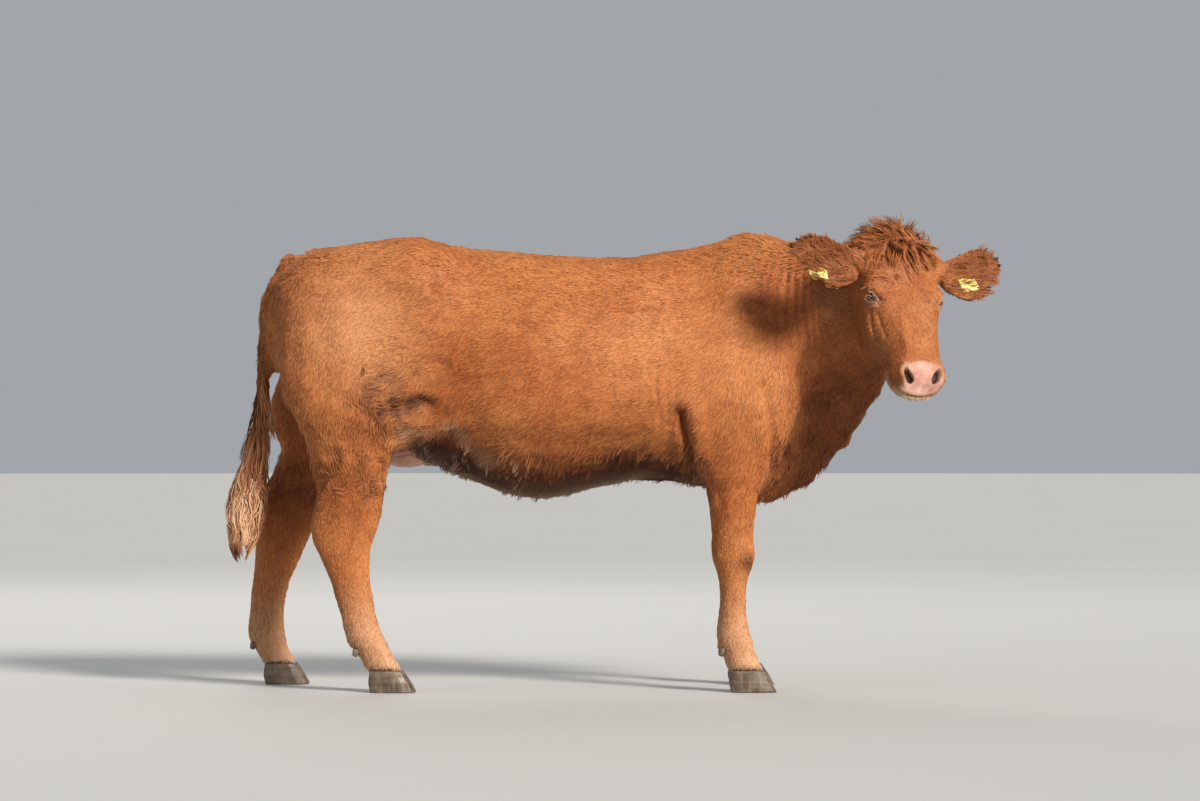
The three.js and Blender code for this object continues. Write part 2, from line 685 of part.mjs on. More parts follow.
// Neck: its grid lies along its own axis, and the head's space is taken out of it.
const neckFrame = new THREE.Matrix4().makeBasis(neckAxis, neckSide, neckUp).setPosition(NECK_FROM);
const headSpace = [NAPE, THROAT].reduce(
  (b, cut) => trim(b, cut, -CUT_GAP / 2),
  solidOf(new THREE.BoxGeometry(FAR, FAR, FAR)),
);
finish("neck", between(fleshOn("neck", neckFrame), flip(SHOULDER)).subtract(headSpace), COAT);

// Legs below the trunk: each is cut level into stretches, and the foot has two claws and two dewclaws.
const FORE_NAMES = ["forearm", "knee", "cannon", "pastern"];
const HIND_NAMES = ["gaskin", "hock", "cannon", "pastern"];
const LEGS = [
  ["fore_right", FORELEG, -1, 0, FORE_LEVELS, FORE_NAMES],
  ["fore_left", FORELEG, 1, FORE_STEP, FORE_LEVELS, FORE_NAMES],
  ["hind_right", HINDLEG_RIGHT, -1, 0, HIND_LEVELS, HIND_NAMES],
  ["hind_left", HINDLEG_LEFT, 1, 0, HIND_LEVELS, HIND_NAMES],
];

// A stack of level rings, each of z, rear x, front x, y and half-width, closed at both ends.
const RING_SIDES = 11;
const RING_SQUARE = 0.85; // power of sine and cosine: below 1 squares the ring off
function stack(rings) {
  const square = (c) => Math.sign(c) * Math.abs(c) ** RING_SQUARE;
  const points = rings.flatMap(([z, rear, front, y, half]) =>
    Array.from({ length: RING_SIDES }, (_, i) => {
      const turn = (2 * Math.PI * i) / RING_SIDES;
      const x = (front + rear) / 2 + ((front - rear) / 2) * square(Math.cos(turn));
      return V(x, y + half * square(Math.sin(turn)), z);
    }));
  const triangles = [];
  for (let k = 0; k + 1 < rings.length; k++)
    for (let i = 0; i < RING_SIDES; i++) {
      const [a, b] = [k * RING_SIDES + i, k * RING_SIDES + ((i + 1) % RING_SIDES)];
      triangles.push(a, b, b + RING_SIDES, a, b + RING_SIDES, a + RING_SIDES);
    }
  const top = (rings.length - 1) * RING_SIDES;
  for (let i = 1; i + 1 < RING_SIDES; i++) triangles.push(0, i + 1, i, top, top + i, top + i + 1);
  return solid(points, triangles);
}

const RING_STEP = 40; // between the rings of a leg
for (const [leg, rows, side, ahead, levels, names] of LEGS) {
  const at = through(rows);
  const ring = (z) => {
    const [rear, front, half, out] = at(z);
    return [z, rear + ahead, front + ahead, side * out, half];
  };
  const dewclaws = [-1, 1].map((turn) => {
    const [z, rear, , y] = ring(DEWCLAW.height);
    const place = V(rear + DEWCLAW.inset, y + turn * DEWCLAW.apart, z);
    const lean = new THREE.Quaternion().setFromAxisAngle(EY, rad(DEWCLAW.lean));
    return (grow) => solidOf(new THREE.SphereGeometry(1, 6, 4), new THREE.Matrix4().compose(
      place, lean, V(...DEWCLAW.radii).addScalar(grow)));
  });
  names.forEach((name, k) => {
    const [high, low] = [levels[k] - CUT_GAP / 2, levels[k + 1] + CUT_GAP / 2];
    const steps = Math.max(2, Math.round((high - low) / RING_STEP));
    const stretch = stack(Array.from({ length: steps + 1 }, (_, i) => ring(low + ((high - low) * i) / steps)));
    const body = name === "pastern" ? dewclaws.reduce((b, claw) => b.subtract(claw(ROOM)), stretch) : stretch;
    finish(name + "_" + leg, body, COAT);
  });
  const [, heel, toe, middle] = ring(CLAW.top);
  for (const [k, turn] of [[0, -1], [1, 1]]) {
    const where = turn * side > 0 ? "outer" : "inner";
    const y = middle + turn * (CLAW.gap / 2 + CLAW.width / 2);
    finish("claw_" + leg + "_" + where, stack([
      [0, heel + 4, toe + CLAW.reach, y, CLAW.width / 2 - 1],
      [CLAW.top * 0.45, heel - 2, toe + CLAW.reach * 0.58, y, CLAW.width / 2],
      [CLAW.top - CUT_GAP, heel + 3, toe - 2, y, CLAW.width / 2 - 3],
    ]), HORN);
    finish("dewclaw_" + leg + "_" + where, dewclaws[k](0), HORN);
  }
}

finish("udder", between(net(udder, ...GRIDS.udder), level(HIND_LEVELS[0]), GROIN), TEAT);

const [dockEnd, switchTop] = TAIL_LEVELS.map(level);
finish("tail_dock", between(tailBody, flip(dockEnd)), COAT);
finish("tail_tip", between(tailBody, dockEnd, flip(switchTop)), COAT);
finish("tail_switch", between(tailBody, switchTop), HAIR);

// Head: eyes, nostrils, ears and tags take their room out of it.
const eyeballs = [1, -1].map((side) => (radius) => solidOf(
  new THREE.SphereGeometry(radius, 11, 7),
  headFrame.clone().multiply(new THREE.Matrix4().makeTranslation(side * EYE.at[0], EYE.at[1], EYE.at[2])),
));
function oval(at, radii, turn, side) {
  const place = new THREE.Matrix4().compose(
    V(side * at[0], at[1], at[2]),
    new THREE.Quaternion().setFromEuler(new THREE.Euler(...turn.map((a, i) => rad(i ? side * a : a)))),
    V(...radii),
  );
  return solidOf(new THREE.SphereGeometry(1, 9, 6), place.premultiply(headFrame));
}
const openings = [1, -1].flatMap((side) => [
  eyeballs[side > 0 ? 0 : 1](EYE.radius + ROOM),
  oval([EYE.at[0] + EYE.depth, EYE.at[1], EYE.at[2]], EYE.opening, [0, 0, 0], side),
  oval(NOSTRIL.at, NOSTRIL.radii, NOSTRIL.turn, side),
]);
const earPlanes = Object.values(EARS).map(({ root, tip }) => {
  const axis = V(...tip).sub(V(...root)).normalize();
  return plane(V(...root).addScaledVector(axis, EAR_NECK).toArray(), axis.toArray(), headFrame);
});
const headBody = openings.reduce(
  (b, hole) => b.subtract(hole),
  between(fleshOn("head", headFrame), NAPE, THROAT, ...earPlanes),
);
const nose = plane([0, 0, NOSE_CUT], [0, 0, 1], headFrame);
const lips = plane([0, MOUTH_LINE, NOSE_CUT], [0, -1, 0], headFrame);
finish("head", between(headBody, nose), COAT);
finish("muzzle", between(headBody, flip(nose), lips), NOSE);
finish("chin", between(headBody, flip(nose), flip(lips)), CHIN);
finish("eye_left", eyeballs[0](EYE.radius), EYEBALL);
finish("eye_right", eyeballs[1](EYE.radius), EYEBALL);

// Each tag is a flag, a stud and a button in one, set square to the ear where it passes through.
Object.entries(EARS).forEach(([name, { root, tip, tag }], k) => {
  const down = name === "right" ? 1 : -1;
  const [along, below] = tag;
  const [up, low, thick] = through(EAR)(along);
  const half = (low + up) / 2;
  const v = (below - (low - up) / 2) / half;
  const slope = Math.atan((2 * dish(up + low) * v * down) / half);
  const frame = earFrames[k].clone().premultiply(headFrame)
    .multiply(new THREE.Matrix4().makeTranslation(along, down * below, dish(up + low) * v * v))
    .multiply(new THREE.Matrix4().makeRotationX(slope));
  const flagAt = thick / 2 + TAG.clear;
  const buttonAt = -thick / 2 - TAG.thickness;
  const pieces = (grow) => [
    [new THREE.BoxGeometry(TAG.width + grow, TAG.height + grow, TAG.thickness + grow), flagAt],
    [new THREE.CylinderGeometry(TAG.stud + grow, TAG.stud + grow, flagAt - buttonAt + grow, 8)
      .rotateX(Math.PI / 2), (flagAt + buttonAt) / 2],
    [new THREE.CylinderGeometry(TAG.button + grow, TAG.button + grow, TAG.thickness + grow, 10)
      .rotateX(Math.PI / 2), buttonAt],
  ].map(([g, z]) => solidOf(g, frame.clone().multiply(new THREE.Matrix4().makeTranslation(0, 0, z))))
    .reduce((a, b) => a.add(b));
  finish("tag_" + name, pieces(0), TAG_YELLOW);
  const length = V(...root).distanceTo(V(...tip));
  const ear = leaf(earFrames[k].clone().premultiply(headFrame), down, length);
  finish("ear_" + name, between(ear, flip(earPlanes[k])).subtract(pieces(ROOM)), COAT);
});

export default model;
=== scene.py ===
"""Looks of a standing cow: one skin over the flesh, a coat of tufts and locks, eyes, claws and ear tags."""

import math

import bmesh
import bpy
import numpy as np
from mathutils import Matrix, kdtree


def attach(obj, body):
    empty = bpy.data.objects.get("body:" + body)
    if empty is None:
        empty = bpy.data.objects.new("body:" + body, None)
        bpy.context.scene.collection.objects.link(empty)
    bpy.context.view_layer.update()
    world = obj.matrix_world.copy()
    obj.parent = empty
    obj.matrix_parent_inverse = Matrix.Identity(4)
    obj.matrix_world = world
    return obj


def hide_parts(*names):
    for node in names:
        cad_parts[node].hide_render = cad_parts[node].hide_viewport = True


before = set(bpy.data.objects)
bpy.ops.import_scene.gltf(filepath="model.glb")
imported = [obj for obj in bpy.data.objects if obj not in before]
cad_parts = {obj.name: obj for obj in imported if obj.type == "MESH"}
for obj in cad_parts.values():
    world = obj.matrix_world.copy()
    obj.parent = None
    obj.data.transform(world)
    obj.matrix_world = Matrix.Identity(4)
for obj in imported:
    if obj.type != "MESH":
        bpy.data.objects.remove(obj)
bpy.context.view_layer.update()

bl_info = {
    "name": "Standing cow",
    "version": (1, 0, 0),
    "blender": (4, 5, 0),
    "location": "3D View > Sidebar > Cow",
    "description": "Skin, coat, eyes, claws and ear tags of a life-size standing cow",
    "category": "Object",
}

# ---------------------------------------------------------------- places, in metres

UP = np.array((0.0, 0.0, 1.0))
MIDDLE_Y = 0.086  # the trunk's plane of symmetry

# The head's frame: x to the cow's left, y out of the face, z from the poll to the muzzle.
POLL = np.array((0.797, -0.224, 1.291))
HEAD_YAW = 26  # degrees
HEAD_PITCH = 30
HEAD_ROLL = 2.5

EYE_AT = np.array((0.101, -0.042, 0.182))  # left eye; the right one is its mirror image
EYE_RADIUS = 0.0195
GAZE = np.array((0.80, 0.55, 0.12))  # way the left eye looks, in the head's frame
SLIT_WAY = np.array((-0.35, 0.55, 0.80))  # from the lid slit's back corner to its front one
LID_SLIT = (0.0180, 0.0082)  # half-length and half-height of the opening between the lids
WHORL = np.array((0.0, 0.0, 0.182))  # where the face's hair parts
NOSTRIL_AT = np.array((0.047, -0.046, 0.427))
NOSE_TOP = 0.386  # the bare nose skin begins this far from the poll
MOUTH_LEVEL = -0.094
MOUTH_CORNER = 0.335

# Folds and edges on the body's sides: places as x and z.
ELBOW_CREASE = ((0.183, 0.825), (0.198, 0.742), (0.212, 0.683), (0.240, 0.617))
ARM_EDGE = ((0.418, 0.90), (0.432, 0.83), (0.447, 0.728), (0.453, 0.60))
SHOULDER_EDGE = (
    (0.440, 0.588), (0.483, 0.654), (0.520, 0.757), (0.540, 0.822), (0.522, 0.911), (0.555, 1.03))
FLANK_FOLD = ((-0.600, 0.800), (-0.575, 0.830), (-0.545, 0.838), (-0.505, 0.815))
FLANK_LINE = ((-0.525, 0.948), (-0.490, 0.940), (-0.456, 0.917))
FLANK_PIT = (-0.556, 0.832)
# Painted shade: the hair below this edge is darkened to stand for the shade under the belly.
BELLY_SHADE_EDGE = (  # the hair below it is dark
    (-0.62, 0.70), (-0.52, 0.745), (-0.45, 0.742), (-0.41, 0.70), (-0.357, 0.65), (-0.24, 0.62),
    (-0.15, 0.625), (-0.04, 0.655), (0.015, 0.69), (0.19, 0.683), (0.23, 0.62))
CURLS_X = -0.645  # middle of the curly patch on the thigh
CURLS_Z = 0.83
NECK_FOLDS_AT = (0.52, 1.14)  # middle of the upright folds behind the ear
FOLD_PACE = 0.0036  # their spacing, divided by a full turn
TAIL_X = -1.02  # the hanging tail's middle

TRUNK_NODES = ("rump", "barrel", "chest", "thigh_right", "thigh_left", "neck")
HEAD_NODES = ("head", "muzzle", "chin")
TAIL_NODES = ("tail_dock", "tail_tip")
LEG_WORDS = ("forearm", "knee", "cannon", "pastern", "gaskin", "hock")
EARS = ("right", "left")
DOUBLES = 1e-5  # corners nearer than this are one


def nodes_named(*starts):
    return sorted(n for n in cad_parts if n.startswith(starts))


LEG_NODES = tuple(nodes_named(*LEG_WORDS))
FLESH_NODES = TRUNK_NODES + HEAD_NODES + TAIL_NODES + LEG_NODES + ("udder",)
EYE_NODES = tuple(nodes_named("eye_"))


# ---------------------------------------------------------------- settings a user would change


class CowSkinSettings(bpy.types.PropertyGroup):
    cell: bpy.props.FloatProperty(
        name="Skin cell", description="Size of the skin's faces on the trunk", default=0.0123, unit="LENGTH")
    trunk_depth: bpy.props.FloatProperty(
        name="Trunk coat", description="Depth of the coat on trunk and neck", default=0.010, unit="LENGTH")
    leg_depth: bpy.props.FloatProperty(
        name="Leg coat", description="Depth of the coat on the lower legs", default=0.0045, unit="LENGTH")
    face_depth: bpy.props.FloatProperty(
        name="Face coat", description="Depth of the coat on the face", default=0.004, unit="LENGTH")
    nose_colour: bpy.props.FloatVectorProperty(
        name="Nose skin", description="Colour of the bare nose", subtype="COLOR", size=3,
        default=(0.62, 0.33, 0.245))


class CowCoatSettings(bpy.types.PropertyGroup):
    density: bpy.props.FloatProperty(
        name="Tufts", description="Tufts on each square metre of trunk", default=39000)
    length: bpy.props.FloatProperty(
        name="Hair length", description="Length of a tuft on the trunk", default=0.019, unit="LENGTH")
    width: bpy.props.FloatProperty(
        name="Tuft width", description="Width of a tuft on the trunk", default=0.0042, unit="LENGTH")
    red: bpy.props.FloatVectorProperty(
        name="Red", description="Main colour of the coat", subtype="COLOR", size=3,
        default=(0.34, 0.080, 0.018))
    # Gold is also the colour of the painted highlights on rump, thigh and ribs.
    gold: bpy.props.FloatVectorProperty(
        name="Gold", description="Colour of bleached hair", subtype="COLOR", size=3,
        default=(0.61, 0.235, 0.076))
    # Dark is also the colour of the painted shade in creases, folds, undersides, head, ears and tail.
    dark: bpy.props.FloatVectorProperty(
        name="Dark", description="Colour of the darkest hair", subtype="COLOR", size=3,
        default=(0.075, 0.020, 0.008))
    # Pale is also used for the painted highlight on rump and thigh.
    pale: bpy.props.FloatVectorProperty(
        name="Pale", description="Colour of the palest hair", subtype="COLOR", size=3,
        default=(0.74, 0.54, 0.36))


class CowStageSettings(bpy.types.PropertyGroup):
    distance: bpy.props.FloatProperty(
        name="Camera distance", description="From the camera to the cow's middle", default=12.0,
        unit="LENGTH")
    height: bpy.props.FloatProperty(
        name="Camera height", description="Of the camera above the floor", default=0.748, unit="LENGTH")
    floor_colour: bpy.props.FloatVectorProperty(
        name="Floor", description="Colour of the floor", subtype="COLOR", size=3,
        default=(0.55, 0.545, 0.53))


# ---------------------------------------------------------------- small maths on arrays


def unit(v):
    return v / np.maximum(np.linalg.norm(v, axis=-1, keepdims=True), 1e-12)


def smooth(x, low, high):
    """0 at low, 1 at high, and an even slope between."""
    t = np.clip((x - low) / (high - low), 0, 1)
    return t * t * (3 - 2 * t)


def bell(x, width):
    return np.exp(-((x / width) ** 2))


def ripple(points, size, seed, count=18):
    """Smooth noise of about -1 to 1, whose bumps are about size across."""
    rng = np.random.default_rng(seed)
    pace = rng.normal(size=(3, count)) * (2.2 / size)
    phase = rng.uniform(0, 2 * math.pi, count)
    return np.sin(points @ pace + phase).sum(1) / math.sqrt(count)


def along_path(points, path):
    """Distance from each 2-D point to a path, and how far along it the nearest place is, 0 to 1."""
    path = np.asarray(path, float)
    best = np.full(len(points), 1e9)
    where = np.zeros(len(points))
    for i, (a, b) in enumerate(zip(path[:-1], path[1:])):
        ab = b - a
        t = np.clip((points - a) @ ab / (ab @ ab), 0, 1)
        far = np.linalg.norm(points - a - t[:, None] * ab, axis=1)
        nearer = far < best
        best[nearer] = far[nearer]
        where[nearer] = (i + t[nearer]) / (len(path) - 1)
    return best, where


def head_axes():
    yaw, pitch, roll = (math.radians(a) for a in (HEAD_YAW, HEAD_PITCH, HEAD_ROLL))
    ahead = np.array((math.sin(yaw), -math.cos(yaw), 0.0))
    left = np.cross(UP, ahead)
    face = ahead * math.cos(pitch) + UP * math.sin(pitch)
    down = np.cross(left, face)
    axes = np.stack((left, face, down))
    c, s = math.cos(-roll), math.sin(-roll)
    along = (axes @ ahead)[:, None] * ahead
    return along + c * (axes - along) + s * np.cross(ahead, axes)


HEAD_AXES = head_axes()


def to_head(points):
    return (points - POLL) @ HEAD_AXES.T


def from_head(local):
    return POLL + local @ HEAD_AXES


# ---------------------------------------------------------------- meshes as arrays


def read_mesh(mesh):
    """Corner places and edges of a mesh."""
    co = np.empty(len(mesh.vertices) * 3)
    mesh.vertices.foreach_get("co", co)
    edges = np.empty(len(mesh.edges) * 2, np.int64)
    mesh.edges.foreach_get("vertices", edges)
    return co.reshape(-1, 3), edges.reshape(-1, 2)


def write_mesh(mesh, co):
    mesh.vertices.foreach_set("co", np.ascontiguousarray(co, np.float32).ravel())
    mesh.update()


def normals_of(mesh):
    n = np.empty(len(mesh.vertices) * 3, np.float32)
    mesh.vertex_normals.foreach_get("vector", n)
    return n.reshape(-1, 3).astype(float)


def spread(values, edges, rounds, share=0.5):
    """Each round, every corner's values move towards its neighbours' mean."""
    n = len(values)
    degree = np.bincount(edges.ravel(), minlength=n).clip(1)[:, None]
    out = values.reshape(n, -1).astype(float).copy()
    a, b = edges[:, 0], edges[:, 1]
    for _ in range(rounds):
        total = np.stack([
            np.bincount(a, c[b], minlength=n) + np.bincount(b, c[a], minlength=n) for c in out.T], 1)
        out += share * (total / degree - out)
    return out.reshape(values.shape)


def fair(co, edges, rounds):
    """Takes the facets out of a surface and keeps its bulk. rounds is a number for each corner."""
    n = len(co)
    degree = np.bincount(edges.ravel(), minlength=n).clip(1)[:, None]
    a, b = edges[:, 0], edges[:, 1]
    out = co.copy()
    for turn in range(int(rounds.max())):
        free = (rounds > turn)[:, None]
        for share in (0.5, -0.525):
            total = np.stack([
                np.bincount(a, c[b], minlength=n) + np.bincount(b, c[a], minlength=n) for c in out.T], 1)
            out += share * free * (total / degree - out)
    return out


def new_object(name, mesh):
    piece = bpy.data.objects.new(name, mesh)
    bpy.context.scene.collection.objects.link(piece)
    return piece


def pick(piece):
    """Makes a piece the only selected and active object."""
    bpy.ops.object.select_all(action="DESELECT")
    piece.select_set(True)
    bpy.context.view_layer.objects.active = piece


def apply_modifier(piece, kind, **values):
    pick(piece)
    modifier = piece.modifiers.new(kind.lower(), kind)
    for key, value in values.items():
        setattr(modifier, key, value)
    bpy.ops.object.modifier_apply(modifier=modifier.name)


def merged_copy(name, nodes, grow=0.0):
    """One mesh from copies of CAD nodes, with their corners merged, and grown outwards a little."""
    bm = bmesh.new()
    for node in nodes:
        bm.from_mesh(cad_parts[node].data)
    bmesh.ops.remove_doubles(bm, verts=bm.verts, dist=DOUBLES)
    bm.normal_update()
    for v in bm.verts:
        v.co += v.normal * grow
    mesh = bpy.data.meshes.new(name)
    bm.to_mesh(mesh)
    bm.free()
    return new_object(name, mesh)


def finish_piece(piece, slot, material, *nodes):
    """Gives a piece its material, hangs it under the root and hides the nodes it replaces."""
    if not piece.data.polygons:
        raise RuntimeError(piece.name + " has no faces")
    piece.data.materials.clear()
    piece.data.materials.append(material)
    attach(piece, "root")
    if nodes:
        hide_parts(*nodes)


def set_attribute(mesh, name, kind, values):
    layer = mesh.attributes.new(name, kind, "POINT")
    key = "value" if kind == "FLOAT" else "color"
    layer.data.foreach_set(key, np.ascontiguousarray(values, np.float32).ravel())


# ---------------------------------------------------------------- materials


def group_nodes(name, inputs, outputs):
    group = bpy.data.node_groups.new(name, "ShaderNodeTree")
    for socket, kind, value in inputs:
        made = group.interface.new_socket(name=socket, in_out="INPUT", socket_type="NodeSocket" + kind)
        if value is not None:
            made.default_value = value
    for socket, kind in outputs:
        group.interface.new_socket(name=socket, in_out="OUTPUT", socket_type="NodeSocket" + kind)
    start = group.nodes.new("NodeGroupInput")
    end = group.nodes.new("NodeGroupOutput")
    return group, start, end


def mix_colour(tree, factor, low, high, blend="MIX"):
    node = tree.nodes.new("ShaderNodeMix")
    node.data_type = "RGBA"
    node.blend_type = blend
    for socket, value in ((node.inputs[0], factor), (node.inputs[6], low), (node.inputs[7], high)):
        if isinstance(value, bpy.types.NodeSocket):
            tree.links.new(value, socket)
        else:
            socket.default_value = value
    return node.outputs[2]


def maths(tree, operation, a, b=0.0, clamp=False):
    node = tree.nodes.new("ShaderNodeMath")
    node.operation = operation
    node.use_clamp = clamp
    for socket, value in zip(node.inputs, (a, b)):
        if isinstance(value, bpy.types.NodeSocket):
            tree.links.new(value, socket)
        else:
            socket.default_value = value
    return node.outputs[0]


def noise(tree, scale, detail=3.0, stretch=(1, 1, 1), rough=0.5):
    """Noise over Object coordinates; scale is in bumps to the metre."""
    place = tree.nodes.new("ShaderNodeTexCoord")
    mapping = tree.nodes.new("ShaderNodeMapping")
    mapping.inputs["Scale"].default_value = stretch
    tree.links.new(place.outputs["Object"], mapping.inputs["Vector"])
    node = tree.nodes.new("ShaderNodeTexNoise")
    node.inputs["Scale"].default_value = scale
    node.inputs["Detail"].default_value = detail
    node.inputs["Roughness"].default_value = rough
    tree.links.new(mapping.outputs["Vector"], node.inputs["Vector"])
    return node.outputs["Fac"]


def ramp(tree, value, low, high):
    node = tree.nodes.new("ShaderNodeMapRange")
    node.inputs["From Min"].default_value = low
    node.inputs["From Max"].default_value = high
    tree.links.new(value, node.inputs["Value"])
    return node.outputs["Result"]


def attribute(tree, name):
    node = tree.nodes.new("ShaderNodeAttribute")
    node.attribute_name = name
    return node


def opaque(colour):
    return (*colour, 1.0)


SHEEN = (1.0, 0.62, 0.42)
# Painted shade: these colours darken skin and hair deep in nostrils, mouth and lid corners.
HOLLOW_SHADE_SKIN = (0.045, 0.018, 0.014)  # deep in nostrils, mouth and lid corners
HOLLOW_SHADE_HAIR = (0.030, 0.012, 0.009)
NOSE_BLOTCH = (0.47, 0.205, 0.150)
NOSE_PALE = (0.80, 0.52, 0.42)
HORN_DARK = (0.060, 0.040, 0.028)
HORN_LIGHT = (0.150, 0.100, 0.065)
HORN_STREAK = (0.20, 0.145, 0.095)
HORN_DUST = (0.30, 0.235, 0.16)
IRIS_DARK = (0.014, 0.006, 0.003)
IRIS_BROWN = (0.040, 0.016, 0.007)
EYE_WHITE = (0.16, 0.09, 0.06)
EYE_RIM = (0.04, 0.018, 0.012)
PUPIL = (0.004, 0.003, 0.006)
TAG_YELLOW = (0.80, 0.60, 0.11)
TAG_FADED = (0.88, 0.76, 0.36)
TAG_GRIME = (0.33, 0.21, 0.08)


def hair_group():
    """Colour of hair from its pale, dark and gold masks, which hold painted shade and painted highlights
    besides the coat's own markings, its own tone and the place along the hair.
    """
    coat = bpy.context.scene.cow_coat
    inputs = (("Marks", "Color", opaque((0, 0, 0))), ("Tone", "Float", 0.5), ("Along", "Float", 0.5),
              ("Red", "Color", opaque(coat.red)), ("Gold", "Color", opaque(coat.gold)),
              ("Dark", "Color", opaque(coat.dark)), ("Pale", "Color", opaque(coat.pale)))
    group, start, end = group_nodes("hair_colour", inputs, (("Color", "Color"),))
    split = group.nodes.new("ShaderNodeSeparateColor")
    group.links.new(start.outputs["Marks"], split.inputs[0])
    pale, dark, gold = split.outputs
    wide = ramp(group, noise(group, 5.0, 4.0), 0.38, 0.66)
    streaks = ramp(group, noise(group, 38.0, 3.0, (0.45, 1, 0.9)), 0.42, 0.66)
    patch = maths(
        group, "ADD", maths(group, "MULTIPLY", wide, 0.38), maths(group, "MULTIPLY", streaks, 0.20))
    tip = maths(group, "MULTIPLY", ramp(group, start.outputs["Along"], 0.45, 1.0), 0.26)
    patch = maths(group, "ADD", patch, tip)
    strand = maths(group, "MULTIPLY", ramp(group, start.outputs["Tone"], 0.30, 1.0), 0.40)
    lit = maths(group, "ADD", maths(group, "ADD", patch, strand), gold, clamp=True)
    colour = mix_colour(group, lit, start.outputs["Red"], start.outputs["Gold"])
    deep = maths(group, "MULTIPLY", ramp(group, start.outputs["Tone"], 0.45, 0.0), 0.36)
    shade = maths(group, "ADD", deep, dark, clamp=True)
    colour = mix_colour(group, shade, colour, start.outputs["Dark"])
    light = maths(group, "MULTIPLY", pale, ramp(group, start.outputs["Tone"], -0.6, 0.7))
    colour = mix_colour(group, light, colour, start.outputs["Pale"])
    root = maths(group, "MULTIPLY", ramp(group, start.outputs["Along"], 0.55, 0.0), 0.34)
    colour = mix_colour(group, root, colour, mix_colour(group, 0.75, colour, start.outputs["Dark"]))
    group.links.new(colour, end.inputs["Color"])
    return group


def blank_material(name, roughness, **sockets):
    material = bpy.data.materials.new(name)
    material.use_nodes = True
    shader = material.node_tree.nodes["Principled BSDF"]
    shader.inputs["Roughness"].default_value = roughness
    for key, value in sockets.items():
        shader.inputs[key.replace("_", " ").title()].default_value = value
    return material, material.node_tree, shader


def bump(tree, shader, height, distance, strength=1.0):
    node = tree.nodes.new("ShaderNodeBump")
    node.inputs["Distance"].default_value = distance
    node.inputs["Strength"].default_value = strength
    tree.links.new(height, node.inputs["Height"])
    tree.links.new(node.outputs["Normal"], shader.inputs["Normal"])


def hair_colour(tree, tone, along):
    node = tree.nodes.new("ShaderNodeGroup")
    node.node_tree = bpy.data.node_groups.get("hair_colour") or hair_group()
    tree.links.new(attribute(tree, "marks").outputs["Color"], node.inputs["Marks"])
    for key, value in (("Tone", tone), ("Along", along)):
        if isinstance(value, bpy.types.NodeSocket):
            tree.links.new(value, node.inputs[key])
        else:
            node.inputs[key].default_value = value
    return node.outputs["Color"]


def coat_material():
    """The material of all hair, made once."""
    made = bpy.data.materials.get("coat_hair")
    if made:
        return made
    material, tree, shader = blank_material(
        "coat_hair", 0.57, sheen_weight=0.07, sheen_tint=opaque(SHEEN))
    shader.inputs["Specular IOR Level"].default_value = 0.21
    fields = attribute(tree, "hair")
    split = tree.nodes.new("ShaderNodeSeparateColor")
    tree.links.new(fields.outputs["Color"], split.inputs[0])
    tree.links.new(hair_colour(tree, split.outputs[0], split.outputs[1]), shader.inputs["Base Color"])
    return material


def skin_material():
    """Short hair seen between the tufts, and bare skin where the mask "bare" says so; the mask "hollow"
    paints shade into nostrils, mouth and lid corners.
    """
    skin = bpy.context.scene.cow_skin
    material, tree, shader = blank_material("skin", 0.72)
    shader.inputs["Specular IOR Level"].default_value = 0.2
    tone = ramp(tree, noise(tree, 420.0, 2.0), 0.25, 0.8)
    furred = hair_colour(tree, tone, 0.28)
    bare = attribute(tree, "bare").outputs["Fac"]
    blotch = ramp(tree, noise(tree, 60.0, 4.0), 0.35, 0.7)
    nose = mix_colour(tree, blotch, opaque(skin.nose_colour), opaque(NOSE_BLOTCH))
    paler = maths(tree, "MULTIPLY", ramp(tree, noise(tree, 22.0, 3.0), 0.45, 0.75), 0.7)
    nose = mix_colour(tree, paler, nose, opaque(NOSE_PALE))
    # Painted shade in the hollows: nostrils, mouth and lid corners.
    hollow = attribute(tree, "hollow").outputs["Fac"]
    nose = mix_colour(tree, hollow, nose, opaque(HOLLOW_SHADE_SKIN))
    fur_with_hollow_shade = mix_colour(tree, hollow, furred, opaque(HOLLOW_SHADE_HAIR))
    tree.links.new(mix_colour(tree, bare, fur_with_hollow_shade, nose), shader.inputs["Base Color"])
    rough = maths(tree, "SUBTRACT", 0.85, maths(tree, "MULTIPLY", bare, 0.55))
    tree.links.new(rough, shader.inputs["Roughness"])
    cells = tree.nodes.new("ShaderNodeTexVoronoi")
    cells.inputs["Scale"].default_value = 330.0
    place = tree.nodes.new("ShaderNodeTexCoord")
    tree.links.new(place.outputs["Object"], cells.inputs["Vector"])
    pebble = maths(tree, "MULTIPLY", ramp(tree, cells.outputs["Distance"], 0.0, 0.6), bare)
    furry = maths(tree, "SUBTRACT", 1.0, bare)
    hairs = maths(tree, "MULTIPLY", noise(tree, 260.0, 3.0, (1, 1, 0.35)), furry)
    bump(tree, shader, maths(tree, "ADD", maths(tree, "MULTIPLY", pebble, -0.5), hairs), 0.0016)
    return material


def horn_material():
    material, tree, shader = blank_material("claw_horn", 0.5)
    rings = noise(tree, 34.0, 3.0, (0.25, 0.25, 3.5))
    streak = noise(tree, 120.0, 3.0, (1, 1, 0.08))
    colour = mix_colour(tree, ramp(tree, rings, 0.35, 0.7), opaque(HORN_DARK), opaque(HORN_LIGHT))
    colour = mix_colour(tree, ramp(tree, streak, 0.5, 0.75), colour, opaque(HORN_STREAK))
    dust = ramp(tree, noise(tree, 26.0, 5.0), 0.45, 0.75)
    colour = mix_colour(tree, maths(tree, "MULTIPLY", dust, 0.45), colour, opaque(HORN_DUST))
    tree.links.new(colour, shader.inputs["Base Color"])
    rough = maths(tree, "ADD", 0.38, maths(tree, "MULTIPLY", dust, 0.4))
    tree.links.new(rough, shader.inputs["Roughness"])
    bump(tree, shader, maths(tree, "ADD", rings, maths(tree, "MULTIPLY", streak, 0.5)), 0.0012)
    return material


